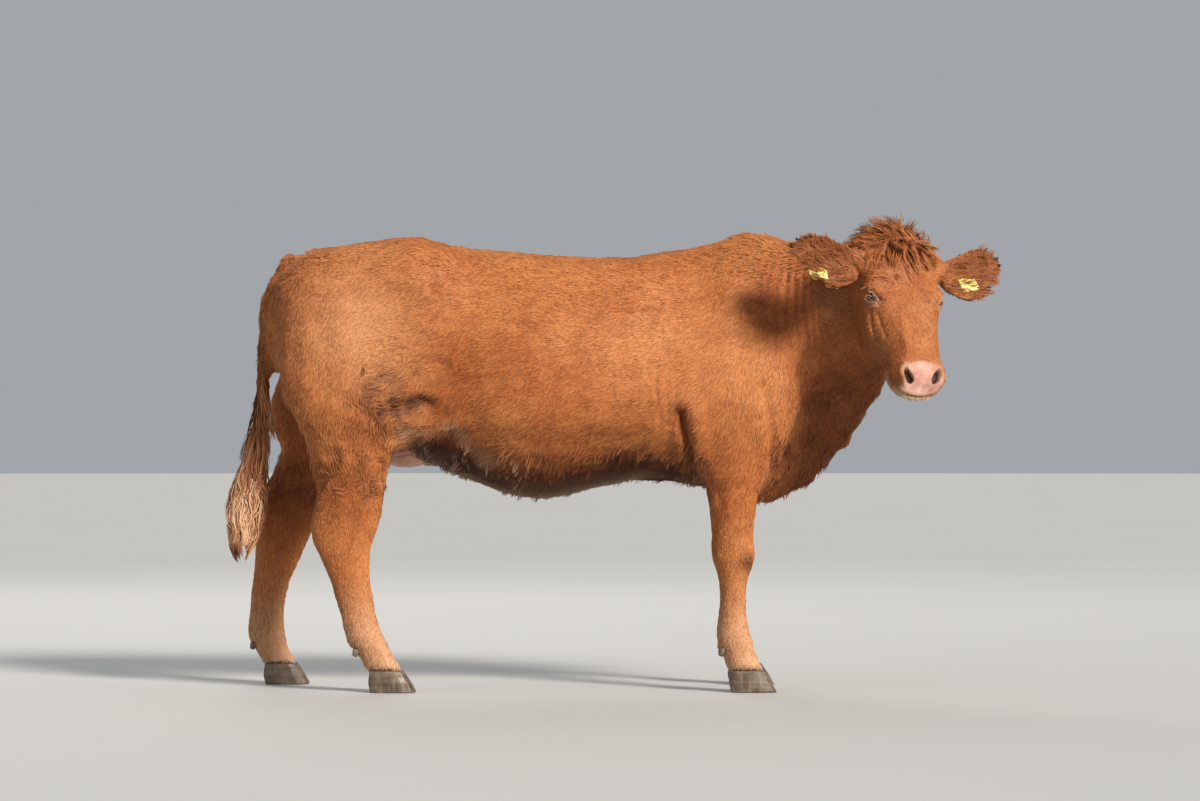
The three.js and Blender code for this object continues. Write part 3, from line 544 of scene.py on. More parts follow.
def eye_material():
    material, tree, shader = blank_material("eye", 0.22, coat_weight=0.30, coat_roughness=0.05)
    split = tree.nodes.new("ShaderNodeSeparateColor")
    tree.links.new(attribute(tree, "eye_zones").outputs["Color"], split.inputs[0])
    iris, pupil, rim = split.outputs
    fibres = ramp(tree, noise(tree, 900.0, 3.0), 0.3, 0.7)
    brown = mix_colour(tree, fibres, opaque(IRIS_DARK), opaque(IRIS_BROWN))
    white = mix_colour(tree, rim, opaque(EYE_WHITE), opaque(EYE_RIM))
    colour = mix_colour(tree, iris, white, brown)
    colour = mix_colour(tree, pupil, colour, opaque(PUPIL))
    tree.links.new(colour, shader.inputs["Base Color"])
    return material


def tag_material():
    material, tree, shader = blank_material("ear_tag", 0.42)
    faded = ramp(tree, noise(tree, 45.0, 4.0), 0.35, 0.75)
    colour = mix_colour(tree, faded, opaque(TAG_YELLOW), opaque(TAG_FADED))
    grime = ramp(tree, noise(tree, 110.0, 5.0), 0.52, 0.72)
    colour = mix_colour(tree, maths(tree, "MULTIPLY", grime, 0.5), colour, opaque(TAG_GRIME))
    tree.links.new(colour, shader.inputs["Base Color"])
    rough = maths(tree, "ADD", 0.38, maths(tree, "MULTIPLY", grime, 0.35))
    tree.links.new(rough, shader.inputs["Roughness"])
    bump(tree, shader, noise(tree, 300.0, 2.0), 0.0002)
    return material


def floor_material():
    stage = bpy.context.scene.cow_stage
    material, tree, shader = blank_material("floor", 0.75)
    cloud = ramp(tree, noise(tree, 0.6, 3.0), 0.3, 0.7)
    low = tuple(0.97 * c for c in stage.floor_colour)
    colour = mix_colour(tree, cloud, opaque(low), opaque(stage.floor_colour))
    tree.links.new(colour, shader.inputs["Base Color"])
    return material


# ---------------------------------------------------------------- the skin


def node_tree_of(names):
    """A search tree of the CAD nodes' corners, and the node that each corner belongs to."""
    places, owner = [], []
    for i, name in enumerate(names):
        co, _ = read_mesh(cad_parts[name].data)
        places.append(co)
        owner.append(np.full(len(co), i))
    places = np.concatenate(places)
    tree = kdtree.KDTree(len(places))
    for i, p in enumerate(places):
        tree.insert(p, i)
    tree.balance()
    return tree, np.concatenate(owner)


def label(co, names, search):
    """Name of the nearest CAD node for each corner."""
    tree, owner = search
    found = np.fromiter((tree.find(p)[1] for p in co), np.int64, len(co))
    return np.array(names)[owner[found]]


def is_one_of(labels, names):
    return np.isin(labels, list(names))


def starts_with(labels, *words):
    return np.logical_or.reduce([np.char.startswith(labels, w) for w in words])


SMOOTHING = (  # rounds of fairing: first word of the node's name, rounds
    ("rump", 46), ("barrel", 46), ("chest", 34), ("thigh", 34), ("neck", 34), ("forearm", 14),
    ("gaskin", 14), ("udder", 10), ("tail", 3), ("hock", 10), ("knee", 10), ("cannon", 12),
    ("pastern", 8), ("head", 10), ("muzzle", 6), ("chin", 6),
)


def coat_depth(labels, co, edges):
    skin = bpy.context.scene.cow_skin
    depth = np.full(len(co), skin.trunk_depth)
    depth[starts_with(labels, "forearm", "gaskin")] = 0.007
    depth[starts_with(labels, "knee", "cannon", "pastern", "hock")] = skin.leg_depth
    depth[starts_with(labels, "udder")] = 0.001
    tail = starts_with(labels, "tail")
    depth[tail] = -0.002 + 0.010 * smooth(co[tail, 2], 0.93, 0.79)
    depth[starts_with(labels, "head")] = skin.face_depth
    depth[starts_with(labels, "muzzle", "chin")] = 0.0008
    return spread(depth, edges, 6)


def lower_topknot(co, on_head):
    """The standing hair on the poll is all coat: the skin under it is drawn in towards the skull."""
    core = np.array((0.006, -0.075, 0.055))
    local = to_head(co)
    off = local - core
    far = np.linalg.norm(off, axis=1, keepdims=True)
    amount = 0.046 * smooth(local[:, 2], 0.045, -0.055) * smooth(local[:, 1], -0.12, -0.05) * on_head
    return from_head(local - off / far * np.minimum(amount[:, None], far * 0.5))


def finer(piece, near, cuts):
    """Splits the faces whose corners are all near."""
    bm = bmesh.new()
    bm.from_mesh(piece.data)
    edges = [e for e in bm.edges if near[e.verts[0].index] and near[e.verts[1].index]]
    bmesh.ops.subdivide_edges(bm, edges=edges, cuts=cuts, use_grid_fill=True)
    bmesh.ops.triangulate(bm, faces=[f for f in bm.faces if len(f.verts) > 4])
    bm.to_mesh(piece.data)
    bm.free()


def both_sides(local):
    """Head-frame places with the right side turned over to the left, and the side of each."""
    side = np.where(local[:, 0] < 0, -1.0, 1.0)
    turned = local.copy()
    turned[:, 0] *= side
    return turned, side


def eye_coordinates(q):
    """Along and across the lid slit, and out of the eye, from the left eye's centre."""
    out = unit(GAZE)
    long_way = unit(SLIT_WAY - out * (SLIT_WAY @ out))
    high = np.cross(long_way, out)
    high = high if high[1] > 0 else -high
    d = q - EYE_AT
    return d @ long_way, d @ high, d @ out, d


def shape_eyes(q, n):
    u, v, w, d = eye_coordinates(q)
    far = np.linalg.norm(d, axis=1)
    almond = np.sqrt((u / LID_SLIT[0]) ** 2 + ((v - 0.001) / LID_SLIT[1]) ** 2)
    lids = EYE_RADIUS + 0.0026
    inside = EYE_RADIUS - 0.0055
    wanted = inside + (lids - inside) * smooth(almond, 0.90, 1.16)
    hold = smooth(almond, 2.5, 1.25) * smooth(w, -0.004, 0.008) * (far < 0.05)
    q = q + (d / far[:, None]) * (hold * (wanted - far))[:, None]
    front = smooth(w, -0.010, 0.006) * (far < 0.075)
    upper = bell(almond - 1.95, 0.20) * smooth(v, 0.002, 0.010)
    lower = bell(almond - 2.0, 0.24) * smooth(-v, 0.003, 0.010)
    brow = bell(almond - 2.9, 0.65) * smooth(v, 0.006, 0.020)
    corner = bell(v + 0.002 + (u - 0.018) * 0.25, 0.0028) * smooth(u, 0.015, 0.022) * smooth(u, 0.050, 0.026)
    push = 0.0042 * brow - 0.0026 * upper - 0.0022 * lower - 0.0030 * corner
    return q + n * (push * front)[:, None], almond, front


def facing_up(n):
    """1 on the front plane of the face."""
    return smooth(n[:, 1], 0.2, 0.6)


def shape_nose(q, n):
    """Nostrils with their wings, the groove between them and the mouth."""
    d = q - NOSTRIL_AT
    lean = math.radians(36)
    across = d[:, 0] * math.cos(lean) + d[:, 2] * math.sin(lean)
    along = -d[:, 0] * math.sin(lean) + d[:, 2] * math.cos(lean)
    bow = across + 0.35 * (along / 0.02) ** 2 * 0.006
    oval = np.sqrt((bow / (0.0125 + 0.08 * along)) ** 2 + (along / 0.023) ** 2)
    facing = smooth(n[:, 1] + 0.5 * n[:, 0] + 0.3 * n[:, 2], 0.05, 0.45) * (np.abs(d[:, 1]) < 0.05)
    pit = smooth(oval, 1.12, 0.55) * facing
    wing = bell(oval - 1.55, 0.30) * facing * smooth(d[:, 0], -0.012, 0.006)
    groove = bell(q[:, 0], 0.0022) * smooth(q[:, 2], 0.405, 0.420) * smooth(q[:, 1], -0.10, -0.07)
    lip = q[:, 1] - MOUTH_LEVEL + 0.20 * smooth(0.40 - q[:, 2], 0.0, 0.08) * 0.06
    rim = bell(q[:, 2] - NOSE_TOP - 0.5 * np.abs(q[:, 0]) ** 1.5, 0.0028)
    rim = rim * smooth(q[:, 0], 0.055, 0.040) * facing_up(n)
    mouth = bell(lip, 0.0036) * smooth(q[:, 2], MOUTH_CORNER, MOUTH_CORNER + 0.02)
    lips = (bell(lip - 0.012, 0.008) + bell(lip + 0.012, 0.008)) * smooth(q[:, 2], 0.36, 0.40)
    push = 0.0035 * wing - 0.0020 * groove - 0.0055 * mouth + 0.0016 * lips - 0.0022 * rim
    inwards = -unit(np.array((0.30, 0.80, 0.10)))
    moved = q + n * push[:, None] + inwards * (0.019 * pit)[:, None]
    # The second value is the mask of nostril pits and mouth line, where the skin paints shade.
    return moved, np.clip(pit * 1.25 + 0.85 * mouth, 0, 1)


CHEEK_FOLDS = (  # on the side of the head, as y and z: path, depth, width
    (((-0.052, 0.210), (-0.072, 0.245), (-0.086, 0.290)), 0.0062, 0.0050),
    (((-0.038, 0.218), (-0.048, 0.255), (-0.050, 0.305)), 0.0042, 0.0045),
    (((-0.080, 0.205), (-0.108, 0.232), (-0.128, 0.270)), 0.0036, 0.0050),
    (((-0.178, 0.215), (-0.150, 0.232), (-0.118, 0.240)), 0.0022, 0.0070),
)


def shape_face(q, n):
    sideways = smooth(np.abs(n[:, 0]), 0.25, 0.6)
    push = np.zeros(len(q))
    for path, depth, width in CHEEK_FOLDS:
        far, where = along_path(q[:, 1:], path)
        push -= depth * bell(far, width) * np.sin(math.pi * np.clip(where, 0.02, 0.98)) ** 0.6
    ridge, where = along_path(q[:, 1:], ((-0.074, 0.215), (-0.092, 0.262), (-0.098, 0.320)))
    push += 0.0035 * bell(ridge, 0.011) * np.sin(math.pi * np.clip(where, 0, 1))
    hollow = bell(q[:, 1] + 0.040, 0.022) * bell(q[:, 2] - 0.275, 0.060)
    push -= 0.0040 * hollow
    bridge = smooth(q[:, 2], 0.20, 0.25) * smooth(q[:, 2], 0.385, 0.350) * smooth(n[:, 1], 0.2, 0.6)
    ridges = 0.0040 * bell(q[:, 0] - 0.040, 0.011) - 0.0022 * bell(q[:, 0], 0.020)
    push += bridge * ridges / np.maximum(sideways, 0.2)
    temple = bell(q[:, 1] + 0.055, 0.022) * bell(q[:, 2] - 0.122, 0.024)
    push -= 0.0055 * temple
    return q + n * (push * np.maximum(sideways, 0.2 * (bridge > 0)))[:, None]


def neck_folds(co, n):
    """Upright folds on the neck's right side: -1 in a fold and 1 between two, and where they are."""
    wave = np.sin((co[:, 0] * 0.92 - co[:, 1] * 0.35) / FOLD_PACE + 1.6 * ripple(co, 0.15, 6))
    here = bell(co[:, 0] - NECK_FOLDS_AT[0], 0.085) * bell(co[:, 2] - NECK_FOLDS_AT[1], 0.13)
    here = here * smooth(np.abs(n[:, 1]), 0.2, 0.6)
    return wave, here * (co[:, 1] < MIDDLE_Y)


def shape_trunk(co, n, labels):
    """Creases and folds of the trunk, the neck and the tops of the legs."""
    side = np.where(co[:, 1] < MIDDLE_Y, -1.0, 1.0)
    flank = co[:, [0, 2]]
    push = np.zeros(len(co))
    sideways = smooth(np.abs(n[:, 1]), 0.2, 0.6)
    for path, depth, width in ((ELBOW_CREASE, 0.034, 0.012), (ARM_EDGE, 0.009, 0.015),
                               (FLANK_FOLD, 0.015, 0.014), (FLANK_LINE, 0.006, 0.007)):
        far, where = along_path(flank, path)
        push -= depth * bell(far, width) * smooth(where, 0.0, 0.15) * smooth(where, 1.0, 0.85) * sideways
    edge = np.array(SHOULDER_EDGE)
    ahead = co[:, 0] - np.interp(co[:, 2], edge[:, 1], edge[:, 0])
    step = np.where(ahead > 0, bell(ahead, 0.055), bell(ahead, 0.010))
    push -= 0.020 * step * smooth(co[:, 2], 0.57, 0.66) * smooth(co[:, 2], 1.07, 0.95) * sideways
    elbow, _ = along_path(flank, ((0.235, 0.80), (0.246, 0.68)))
    push += 0.008 * bell(elbow, 0.024) * sideways
    pleats = np.sin(co[:, 0] / 0.0042 + 2.2 * ripple(co, 0.12, 5))
    behind = bell(co[:, 0] - 0.140, 0.028) * bell(co[:, 2] - 0.83, 0.09) * sideways
    push += 0.0034 * pleats * behind
    neck = starts_with(labels, "neck", "chest")
    wave, folded = neck_folds(co, n)
    push += 0.0040 * wave * folded * neck
    dewlap = smooth(co[:, 0], 0.46, 0.60) * smooth(co[:, 2], 1.0, 0.85) * neck
    push += 0.0040 * np.sin((co[:, 1] * 0.7 - co[:, 0] * 0.4) / 0.0085 + 2.0 * ripple(co, 0.2, 7)) * dewlap
    muscle = 0.0045 * ripple(co * (1.0, 1.0, 0.7), 0.22, 8) * starts_with(labels, "rump", "thigh", "chest")
    ribs = 0.0008 * np.sin(co[:, 0] / 0.0115 + 0.9 * co[:, 2] / 0.1) * sideways
    ribs *= bell(co[:, 0] + 0.12, 0.28) * bell(co[:, 2] - 0.95, 0.16)
    spine = 0.004 * bell(co[:, 1] - MIDDLE_Y, 0.018) * smooth(n[:, 2], 0.6, 0.95)
    tendons = -0.0030 * bell(co[:, 1] - MIDDLE_Y - side * 0.188, 0.010)
    tendons = tendons * starts_with(labels, "cannon") * smooth(np.abs(n[:, 0]), 0.5, 0.9)
    return co + n * (push + muscle + ribs + spine + tendons)[:, None]


def ear_axes(name):
    """Root, length axis, width axis and normal of an ear, from its CAD node."""
    co, _ = read_mesh(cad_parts["ear_" + name].data)
    centre = co.mean(0)
    _, vectors = np.linalg.eigh(np.cov((co - centre).T))
    along, across, thick = vectors[:, 2], vectors[:, 1], vectors[:, 0]
    head_middle = from_head(np.array((0.0, -0.08, 0.08)))
    if along @ (centre - head_middle) < 0:
        along = -along
    if across @ UP < 0:
        across = -across
    if thick @ HEAD_AXES[1] < 0:
        thick = -thick
    root = centre + along * ((co - centre) @ along).min()
    return root, along, across, thick


EAR_SHARE = (0.93, 0.84, 0.62)  # the ear's skin as a share of its solid: length, width, thickness


def ear_skin(name):
    root, along, across, thick = ear_axes(name)
    piece = merged_copy("ear_skin", ["ear_" + name])
    apply_modifier(piece, "SUBSURF", levels=2, render_levels=2)
    co, _ = read_mesh(piece.data)
    off = co - root
    parts = [off @ along * EAR_SHARE[0] - 0.022, off @ across * EAR_SHARE[1], off @ thick * EAR_SHARE[2]]
    write_mesh(piece.data, root + sum(p[:, None] * a for p, a in zip(parts, (along, across, thick))))
    return piece


HEAD_BACK = -0.26  # the head's faces behind this aren't split
NOSTRIL_ROUND = 0.034  # radius of the finer faces round a nostril
EYE_ROUND = 0.036
NECK_FOLDS_ROUND = (0.105, 0.12)
NECK_FINE_Z = 1.12


def wrap_flesh(names, search):
    """One closed skin round the flesh and the eyeballs, drawn in by the coat's depth."""
    skin = merged_copy("skin", names, grow=0.0006)
    apply_modifier(skin, "REMESH", mode="VOXEL", voxel_size=bpy.context.scene.cow_skin.cell)
    co, edges = read_mesh(skin.data)
    labels = label(co, names, search)
    rounds = np.full(len(co), 8)
    for word, count in SMOOTHING:
        rounds[starts_with(labels, word)] = count
    co = fair(co, edges, rounds)
    write_mesh(skin.data, co)
    n = unit(spread(normals_of(skin.data), edges, 3))
    on_head = is_one_of(labels, HEAD_NODES)
    co = co - n * coat_depth(labels, co, edges)[:, None]
    co = lower_topknot(co, on_head)
    write_mesh(skin.data, co)
    finer(skin, on_head & (to_head(co)[:, 1] > HEAD_BACK), 2)
    return skin


def refine(skin, names, search):
    """Rounds the head, and splits the faces round its eyes, nostrils and mouth and in the neck's folds."""
    co, edges = read_mesh(skin.data)
    on_head = is_one_of(label(co, names, search), HEAD_NODES + EYE_NODES)
    co = fair(co, edges, np.where(on_head, 9, 0))
    write_mesh(skin.data, co)
    q, _ = both_sides(to_head(co))
    detail = np.linalg.norm(q - EYE_AT, axis=1) < EYE_ROUND
    detail |= np.linalg.norm(q - NOSTRIL_AT, axis=1) < NOSTRIL_ROUND
    detail |= (np.abs(q[:, 1] - MOUTH_LEVEL) < 0.012) & (q[:, 2] > MOUTH_CORNER)
    finer(skin, detail, 1)
    co, _ = read_mesh(skin.data)
    q, _ = both_sides(to_head(co))
    finer(skin, np.linalg.norm(q - EYE_AT - 0.018 * unit(GAZE), axis=1) < 0.021, 1)
    co, _ = read_mesh(skin.data)
    nape = np.abs(co[:, 0] - NECK_FOLDS_AT[0]) < NECK_FOLDS_ROUND[0]
    nape &= np.abs(co[:, 2] - NECK_FINE_Z) < NECK_FOLDS_ROUND[1]
    finer(skin, nape & (co[:, 1] < MIDDLE_Y), 1)


def sculpt(skin, labels):
    """Carves trunk and head, and writes the masks of bare skin and of hollows, the latter for painted shade.
    """
    co, _ = read_mesh(skin.data)
    n = normals_of(skin.data)
    co = shape_trunk(co, n, labels)
    on_head = is_one_of(labels, HEAD_NODES + EYE_NODES)
    q, side = both_sides(to_head(co[on_head]))
    n_head = n[on_head] @ HEAD_AXES.T
    n_head[:, 0] *= side
    q = shape_face(q, n_head)
    q, hollow = shape_nose(q, n_head)
    q, almond, front = shape_eyes(q, n_head)
    q[:, 0] *= side
    co[on_head] = from_head(q)
    write_mesh(skin.data, co)

    bare = np.zeros(len(co))
    local = to_head(co)
    wide = np.abs(local[:, 0])
    nose = smooth(local[:, 2], NOSE_TOP - 0.006, NOSE_TOP + 0.008 + 0.6 * wide)
    nose *= smooth(local[:, 1], MOUTH_LEVEL + 0.002, MOUTH_LEVEL + 0.016 + 0.15 * wide)
    bare[on_head] = nose[on_head] * smooth(wide[on_head], 0.066, 0.056)
    lids = np.zeros(len(co))
    lids[on_head] = smooth(almond, 1.75, 1.15) * front
    bare = np.maximum(bare, 0.28 * lids)
    bare = np.maximum(bare, starts_with(labels, "udder") * 0.8)
    # Painted shade: the hollows of nostrils, mouth and lid corners, which the skin darkens.
    hollow_shade = np.zeros(len(co))
    hollow_shade[on_head] = np.maximum(hollow, smooth(almond, 1.32, 1.02) * front)
    set_attribute(skin.data, "bare", "FLOAT", bare)
    set_attribute(skin.data, "hollow", "FLOAT", hollow_shade)


class COW_OT_skin(bpy.types.Operator):
    """Covers the flesh with one skin that lies inside it by the coat's depth"""

    bl_idname = "cow.skin"
    bl_label = "Skin"

    def execute(self, context):
        names = list(FLESH_NODES + EYE_NODES)
        search = node_tree_of(names)
        skin = wrap_flesh(names, search)
        refine(skin, names, search)
        co, _ = read_mesh(skin.data)
        sculpt(skin, label(co, names, search))
        ears = [ear_skin(name) for name in EARS]
        for ear in ears:
            plain = np.zeros(len(ear.data.vertices))
            set_attribute(ear.data, "bare", "FLOAT", plain)
            set_attribute(ear.data, "hollow", "FLOAT", plain)
        pick(skin)
        for ear in ears:
            ear.select_set(True)
        bpy.ops.object.join()
        set_attribute(skin.data, "marks", "FLOAT_COLOR", skin_marks_and_shading(skin))
        pick(skin)
        bpy.ops.object.shade_smooth()
        finish_piece(skin, "coat", skin_material(), *FLESH_NODES, "ear_right", "ear_left")
        return {"FINISHED"}


# ---------------------------------------------------------------- lie, length and marks of the hair


class Surface:
    """A mesh that hair grows on, with its corners' places and normals."""

    def __init__(self, mesh, co, normal):
        self.mesh, self.co, self.normal = mesh, co, normal


class Fleece(Surface):
    """The skin, and what part of the animal each of its corners is on."""

    def __init__(self, skin):
        co, self.edges = read_mesh(skin.data)
        super().__init__(skin.data, co, normals_of(skin.data))
        names = list(FLESH_NODES) + ["ear_right", "ear_left", "eye_right", "eye_left"]
        self.label = label(self.co, names, node_tree_of(names))
        self.local = to_head(self.co)
        self.local_normal = self.normal @ HEAD_AXES.T
        self.on_head = is_one_of(self.label, HEAD_NODES + EYE_NODES)
        self.on_ear = starts_with(self.label, "ear")
        self.bare = self.read("bare")
        self.hollow = self.read("hollow")

    def read(self, name):
        values = np.empty(len(self.mesh.vertices), np.float32)
        self.mesh.attributes[name].data.foreach_get("value", values)
        return values.astype(float)

    def starts(self, *words):
        return starts_with(self.label, *words)

    def marks(self):
        values = np.empty(len(self.mesh.vertices) * 4, np.float32)
        self.mesh.attributes["marks"].data.foreach_get("color", values)
        return values.reshape(-1, 4)


def skin_marks_and_shading(skin):
    """Three masks on the skin: pale, dark and gold hair, which hold painted shade (undersides, belly,
    creases, folds, tail, head, ears) and painted highlights (rump, thigh, ribs) besides the coat's own
    markings.
    """
    f = Fleece(skin)
    x, y, z = f.co.T
    n = f.normal
    q, _ = both_sides(f.local)
    head = f.on_head.astype(float)
    sideways = np.abs(n[:, 1])
    pale = 0.55 * head * smooth(q[:, 2], 0.380, 0.415) * smooth(q[:, 0], 0.074, 0.056)
    pale += 0.45 * head * smooth(q[:, 2], 0.36, 0.41) * smooth(q[:, 1], -0.080, -0.105)
    u, v, w, d = eye_coordinates(q)
    ring = np.hypot(u / 1.5, v)
    round_eye = smooth(w, -0.01, 0.005) * (np.linalg.norm(d, axis=1) < 0.06)
    pale += 0.32 * head * bell(ring - 0.013, 0.010) * round_eye
    low = f.starts("udder") + f.starts("barrel", "rump") * smooth(-n[:, 2], 0.80, 0.98)
    pale += 0.45 * low * bell(y - MIDDLE_Y, 0.14)
    # Painted highlight: paler hair on rump and thigh stands for their sunlit sheen.
    pale += 0.17 * bell(x + 0.74, 0.17) * bell(z - 1.05, 0.15) * f.starts("rump", "thigh")
    legs = f.starts(*LEG_WORDS)
    pale += 0.42 * legs * smooth(z, 0.36, 0.12) + 0.30 * legs * smooth(z, 0.10, 0.065)
    # Painted shade: hair on the downward-facing undersides of trunk and neck is darkened.
    dark = 0.30 * smooth(-n[:, 2], 0.2, 0.8) * f.starts("barrel", "chest", "rump", "neck")
    dark += 0.9 * bell(x - 0.378, 0.026) * bell(z - 0.372, 0.036) * legs * (y < MIDDLE_Y) * (
        0.7 + 0.5 * ripple(f.co, 0.03, 11)).clip(0, 1)
    gaskin = f.starts("gaskin", "hock") * bell(z - 0.60, 0.10)
    shag = bell(x - CURLS_X, 0.085) * bell(z - CURLS_Z, 0.10) * f.starts("thigh", "rump")
    dark += (0.45 * gaskin + 0.95 * shag) * (0.45 + 0.7 * ripple(f.co, 0.026, 12)).clip(0, 1)
    # Painted shade: the tail is darkened below its root, for the shade it hangs in.
    dark += 0.55 * f.starts("tail_dock", "tail_tip") * smooth(z, 1.15, 1.0)
    # Darker hair on the lower front of the neck: partly its own darker red, partly painted shade under the
    # head.
    dark += 0.35 * smooth(x, 0.43, 0.55) * smooth(z, 1.0, 0.8) * f.starts("neck", "chest")
    # Painted shade: the whole head is a little darker, the jaw side more, and the ears darker.
    dark += 0.25 * head * bell(q[:, 1] + 0.15, 0.07) + 0.11 * head + 0.38 * f.on_ear
    # Painted shade in the troughs of the neck's folds.
    wave, folded = neck_folds(f.co, n)
    dark += 0.60 * smooth(-wave, 0.0, 0.9) * folded * f.starts("neck", "chest")
    # Painted shade: the belly's underside forward of the flank is darker still.
    dark += 0.45 * smooth(-n[:, 2], 0.45, 0.9) * f.starts("barrel", "rump") * smooth(x, -0.52, -0.40)
    # Painted shade under the belly: the hair below the edge is darkened.
    edge = np.array(BELLY_SHADE_EDGE)
    under = np.interp(x, edge[:, 0], edge[:, 1]) - z + 0.012 * ripple(f.co, 0.03, 13)
    belly = f.starts("barrel", "chest", "rump", "thigh", "udder")
    belly = belly * smooth(x, -0.66, -0.58) * smooth(x, 0.30, 0.22)
    dark += 0.75 * smooth(under, -0.004, 0.030) * belly
    # Painted shade in the elbow crease, along the shoulder's edge and in the flank fold.
    flank = f.co[:, [0, 2]]
    for path, strength, width in (
            (ELBOW_CREASE, 0.95, 0.014), (SHOULDER_EDGE, 0.30, 0.020), (FLANK_FOLD, 0.6, 0.012)):
        far, _ = along_path(flank, path)
        dark += strength * bell(far, width) * sideways
    # Painted shade in the flank pit.
    dark += 0.8 * bell(x - FLANK_PIT[0], 0.030) * bell(z - FLANK_PIT[1], 0.014) * sideways
    mottled = 0.5 + 0.5 * ripple(f.co, 0.02, 14)
    pale += 0.55 * bell(under + 0.014, 0.016) * smooth(x, -0.30, -0.40) * belly * mottled
    red = smooth(x, -0.30, 0.0) * bell(z - 1.17, 0.09) * f.starts("barrel", "chest")
    # Painted highlight: gold on rump and thigh stands for their sunlit sheen; the red band along the back
    # holds it back.
    gold = 0.70 * bell(x + 0.72, 0.18) * bell(z - 1.03, 0.17) * f.starts("rump", "thigh") - 0.30 * red
    web, _ = along_path(flank, ((-0.62, 0.68), (-0.60, 0.76), (-0.55, 0.80)))
    gold += 0.6 * bell(web, 0.035) * sideways
    # Painted highlight: gold along the ribs stands for their sheen.
    gold += 0.32 * bell(x - 0.02, 0.30) * bell(z - 0.98, 0.13) * sideways
    gold += 0.30 * bell(x - 0.33, 0.14) * bell(z - 0.90, 0.28) * sideways
    gold += 0.12 * head * bell(q[:, 0], 0.05) * smooth(q[:, 2], 0.22, 0.36)
    gold += 0.35 * legs * smooth(z, 0.62, 0.30)
    gold -= 0.25 * smooth(n[:, 2], 0.55, 0.95) * f.starts("barrel", "chest", "neck")
    marks = np.stack((pale, dark, gold), 1).clip(0, 1)
    marks = spread(marks, f.edges, 3).clip(0, 1)
    return np.concatenate((marks, np.ones((len(marks), 1))), 1)


def ear_inside(f):
    """1 on the hollow side of the ears."""
    inside = np.zeros(len(f.co))
    for name in EARS:
        _, _, _, thick = ear_axes(name)
        here = f.label == "ear_" + name
        inside[here] = smooth(f.normal[here] @ thick, -0.1, 0.3)
    return inside


def hair_lie(f):
    """Way the hair points at each corner, along the skin."""
    x, y, z = f.co.T
    side = np.where(y < MIDDLE_Y, -1.0, 1.0)
    n = f.normal
    way = np.tile((-1.0, 0.0, -0.42), (len(f.co), 1))
    way[:, 2] -= 0.5 * smooth(z, 1.05, 0.75)
    rear = smooth(x, -0.55, -0.90)
    way[:, 0] += 0.62 * rear
    way[:, 2] -= 0.75 * rear
    under = smooth(-n[:, 2], 0.5, 0.9)
    way[:, 1] -= 0.5 * under * side
    way[:, 2] -= 0.6 * under
    front = smooth(x, 0.20, 0.42)
    way[:, 0] += 0.35 * front
    way[:, 2] -= 0.55 * front
    neck = f.starts("neck") | (f.starts("chest") & (x > 0.50))
    way[neck] = np.array((-0.62, 0.38, -0.68))
    brisket = neck & (z < 0.85)
    way[brisket] = np.array((-0.35, 0.15, -0.9))
    legs = f.starts(*LEG_WORDS) | (f.starts("thigh") & (z < 0.80))
    way[legs] = np.array((-0.16, 0.0, -1.0))
    way[f.starts("tail")] = np.array((-0.12, 0.0, -1.0))
    way[f.on_head] = head_lie(f.local[f.on_head], f.local_normal[f.on_head]) @ HEAD_AXES
    for name in EARS:
        root, along, across, _ = ear_axes(name)
        here = f.label == "ear_" + name
        off = (f.co[here] - root) @ across
        way[here] = along + across * (off * 9.0)[:, None]
    way = unit(way)
    loose = (~f.on_ear)[:, None]
    way = np.where(loose, spread(way, f.edges, 10), way)
    turn = 0.22 * ripple(f.co, 0.16, 21) + 0.16 * ripple(f.co, 0.05, 22)
    curls = bell(x - CURLS_X, 0.10) * bell(z - 0.80, 0.12) * f.starts("thigh", "rump")
    curls = curls + f.starts("gaskin") * 0.7
    turn += curls * 1.0 * ripple(f.co, 0.040, 23)
    brow = f.on_head * bell(f.local[:, 0], 0.09)
    brow = brow * smooth(f.local[:, 2], 0.20, 0.05) * smooth(f.local[:, 2], -0.08, 0.0)
    turn += 0.75 * brow * ripple(f.co, 0.030, 24)
    turn *= np.where(f.on_head & (f.local[:, 2] > 0.22), 0.5, 1.0)
    way = unit(way - n * (way * n).sum(1, keepdims=True))
    return unit(way * np.cos(turn)[:, None] + np.cross(n, way) * np.sin(turn)[:, None])


def head_lie(q, n):
    side = np.where(q[:, 0] < 0, -1.0, 1.0)
    fan = np.stack((q[:, 0] * 1.5, np.zeros(len(q)), q[:, 2] - WHORL[2]), 1)
    fan = unit(fan)
    up = smooth(q[:, 2], WHORL[2] - 0.02, WHORL[2] - 0.08)
    fan[:, 0] += 0.25 * up
    cheek = np.stack((0.1 * side, np.full(len(q), -0.85), np.full(len(q), -0.30)), 1)
    cheek[:, 2] += 0.9 * smooth(q[:, 2], 0.22, 0.36)
    frontal = smooth(n[:, 1], 0.05, 0.65)[:, None]
    return unit(fan * frontal + cheek * (1 - frontal))


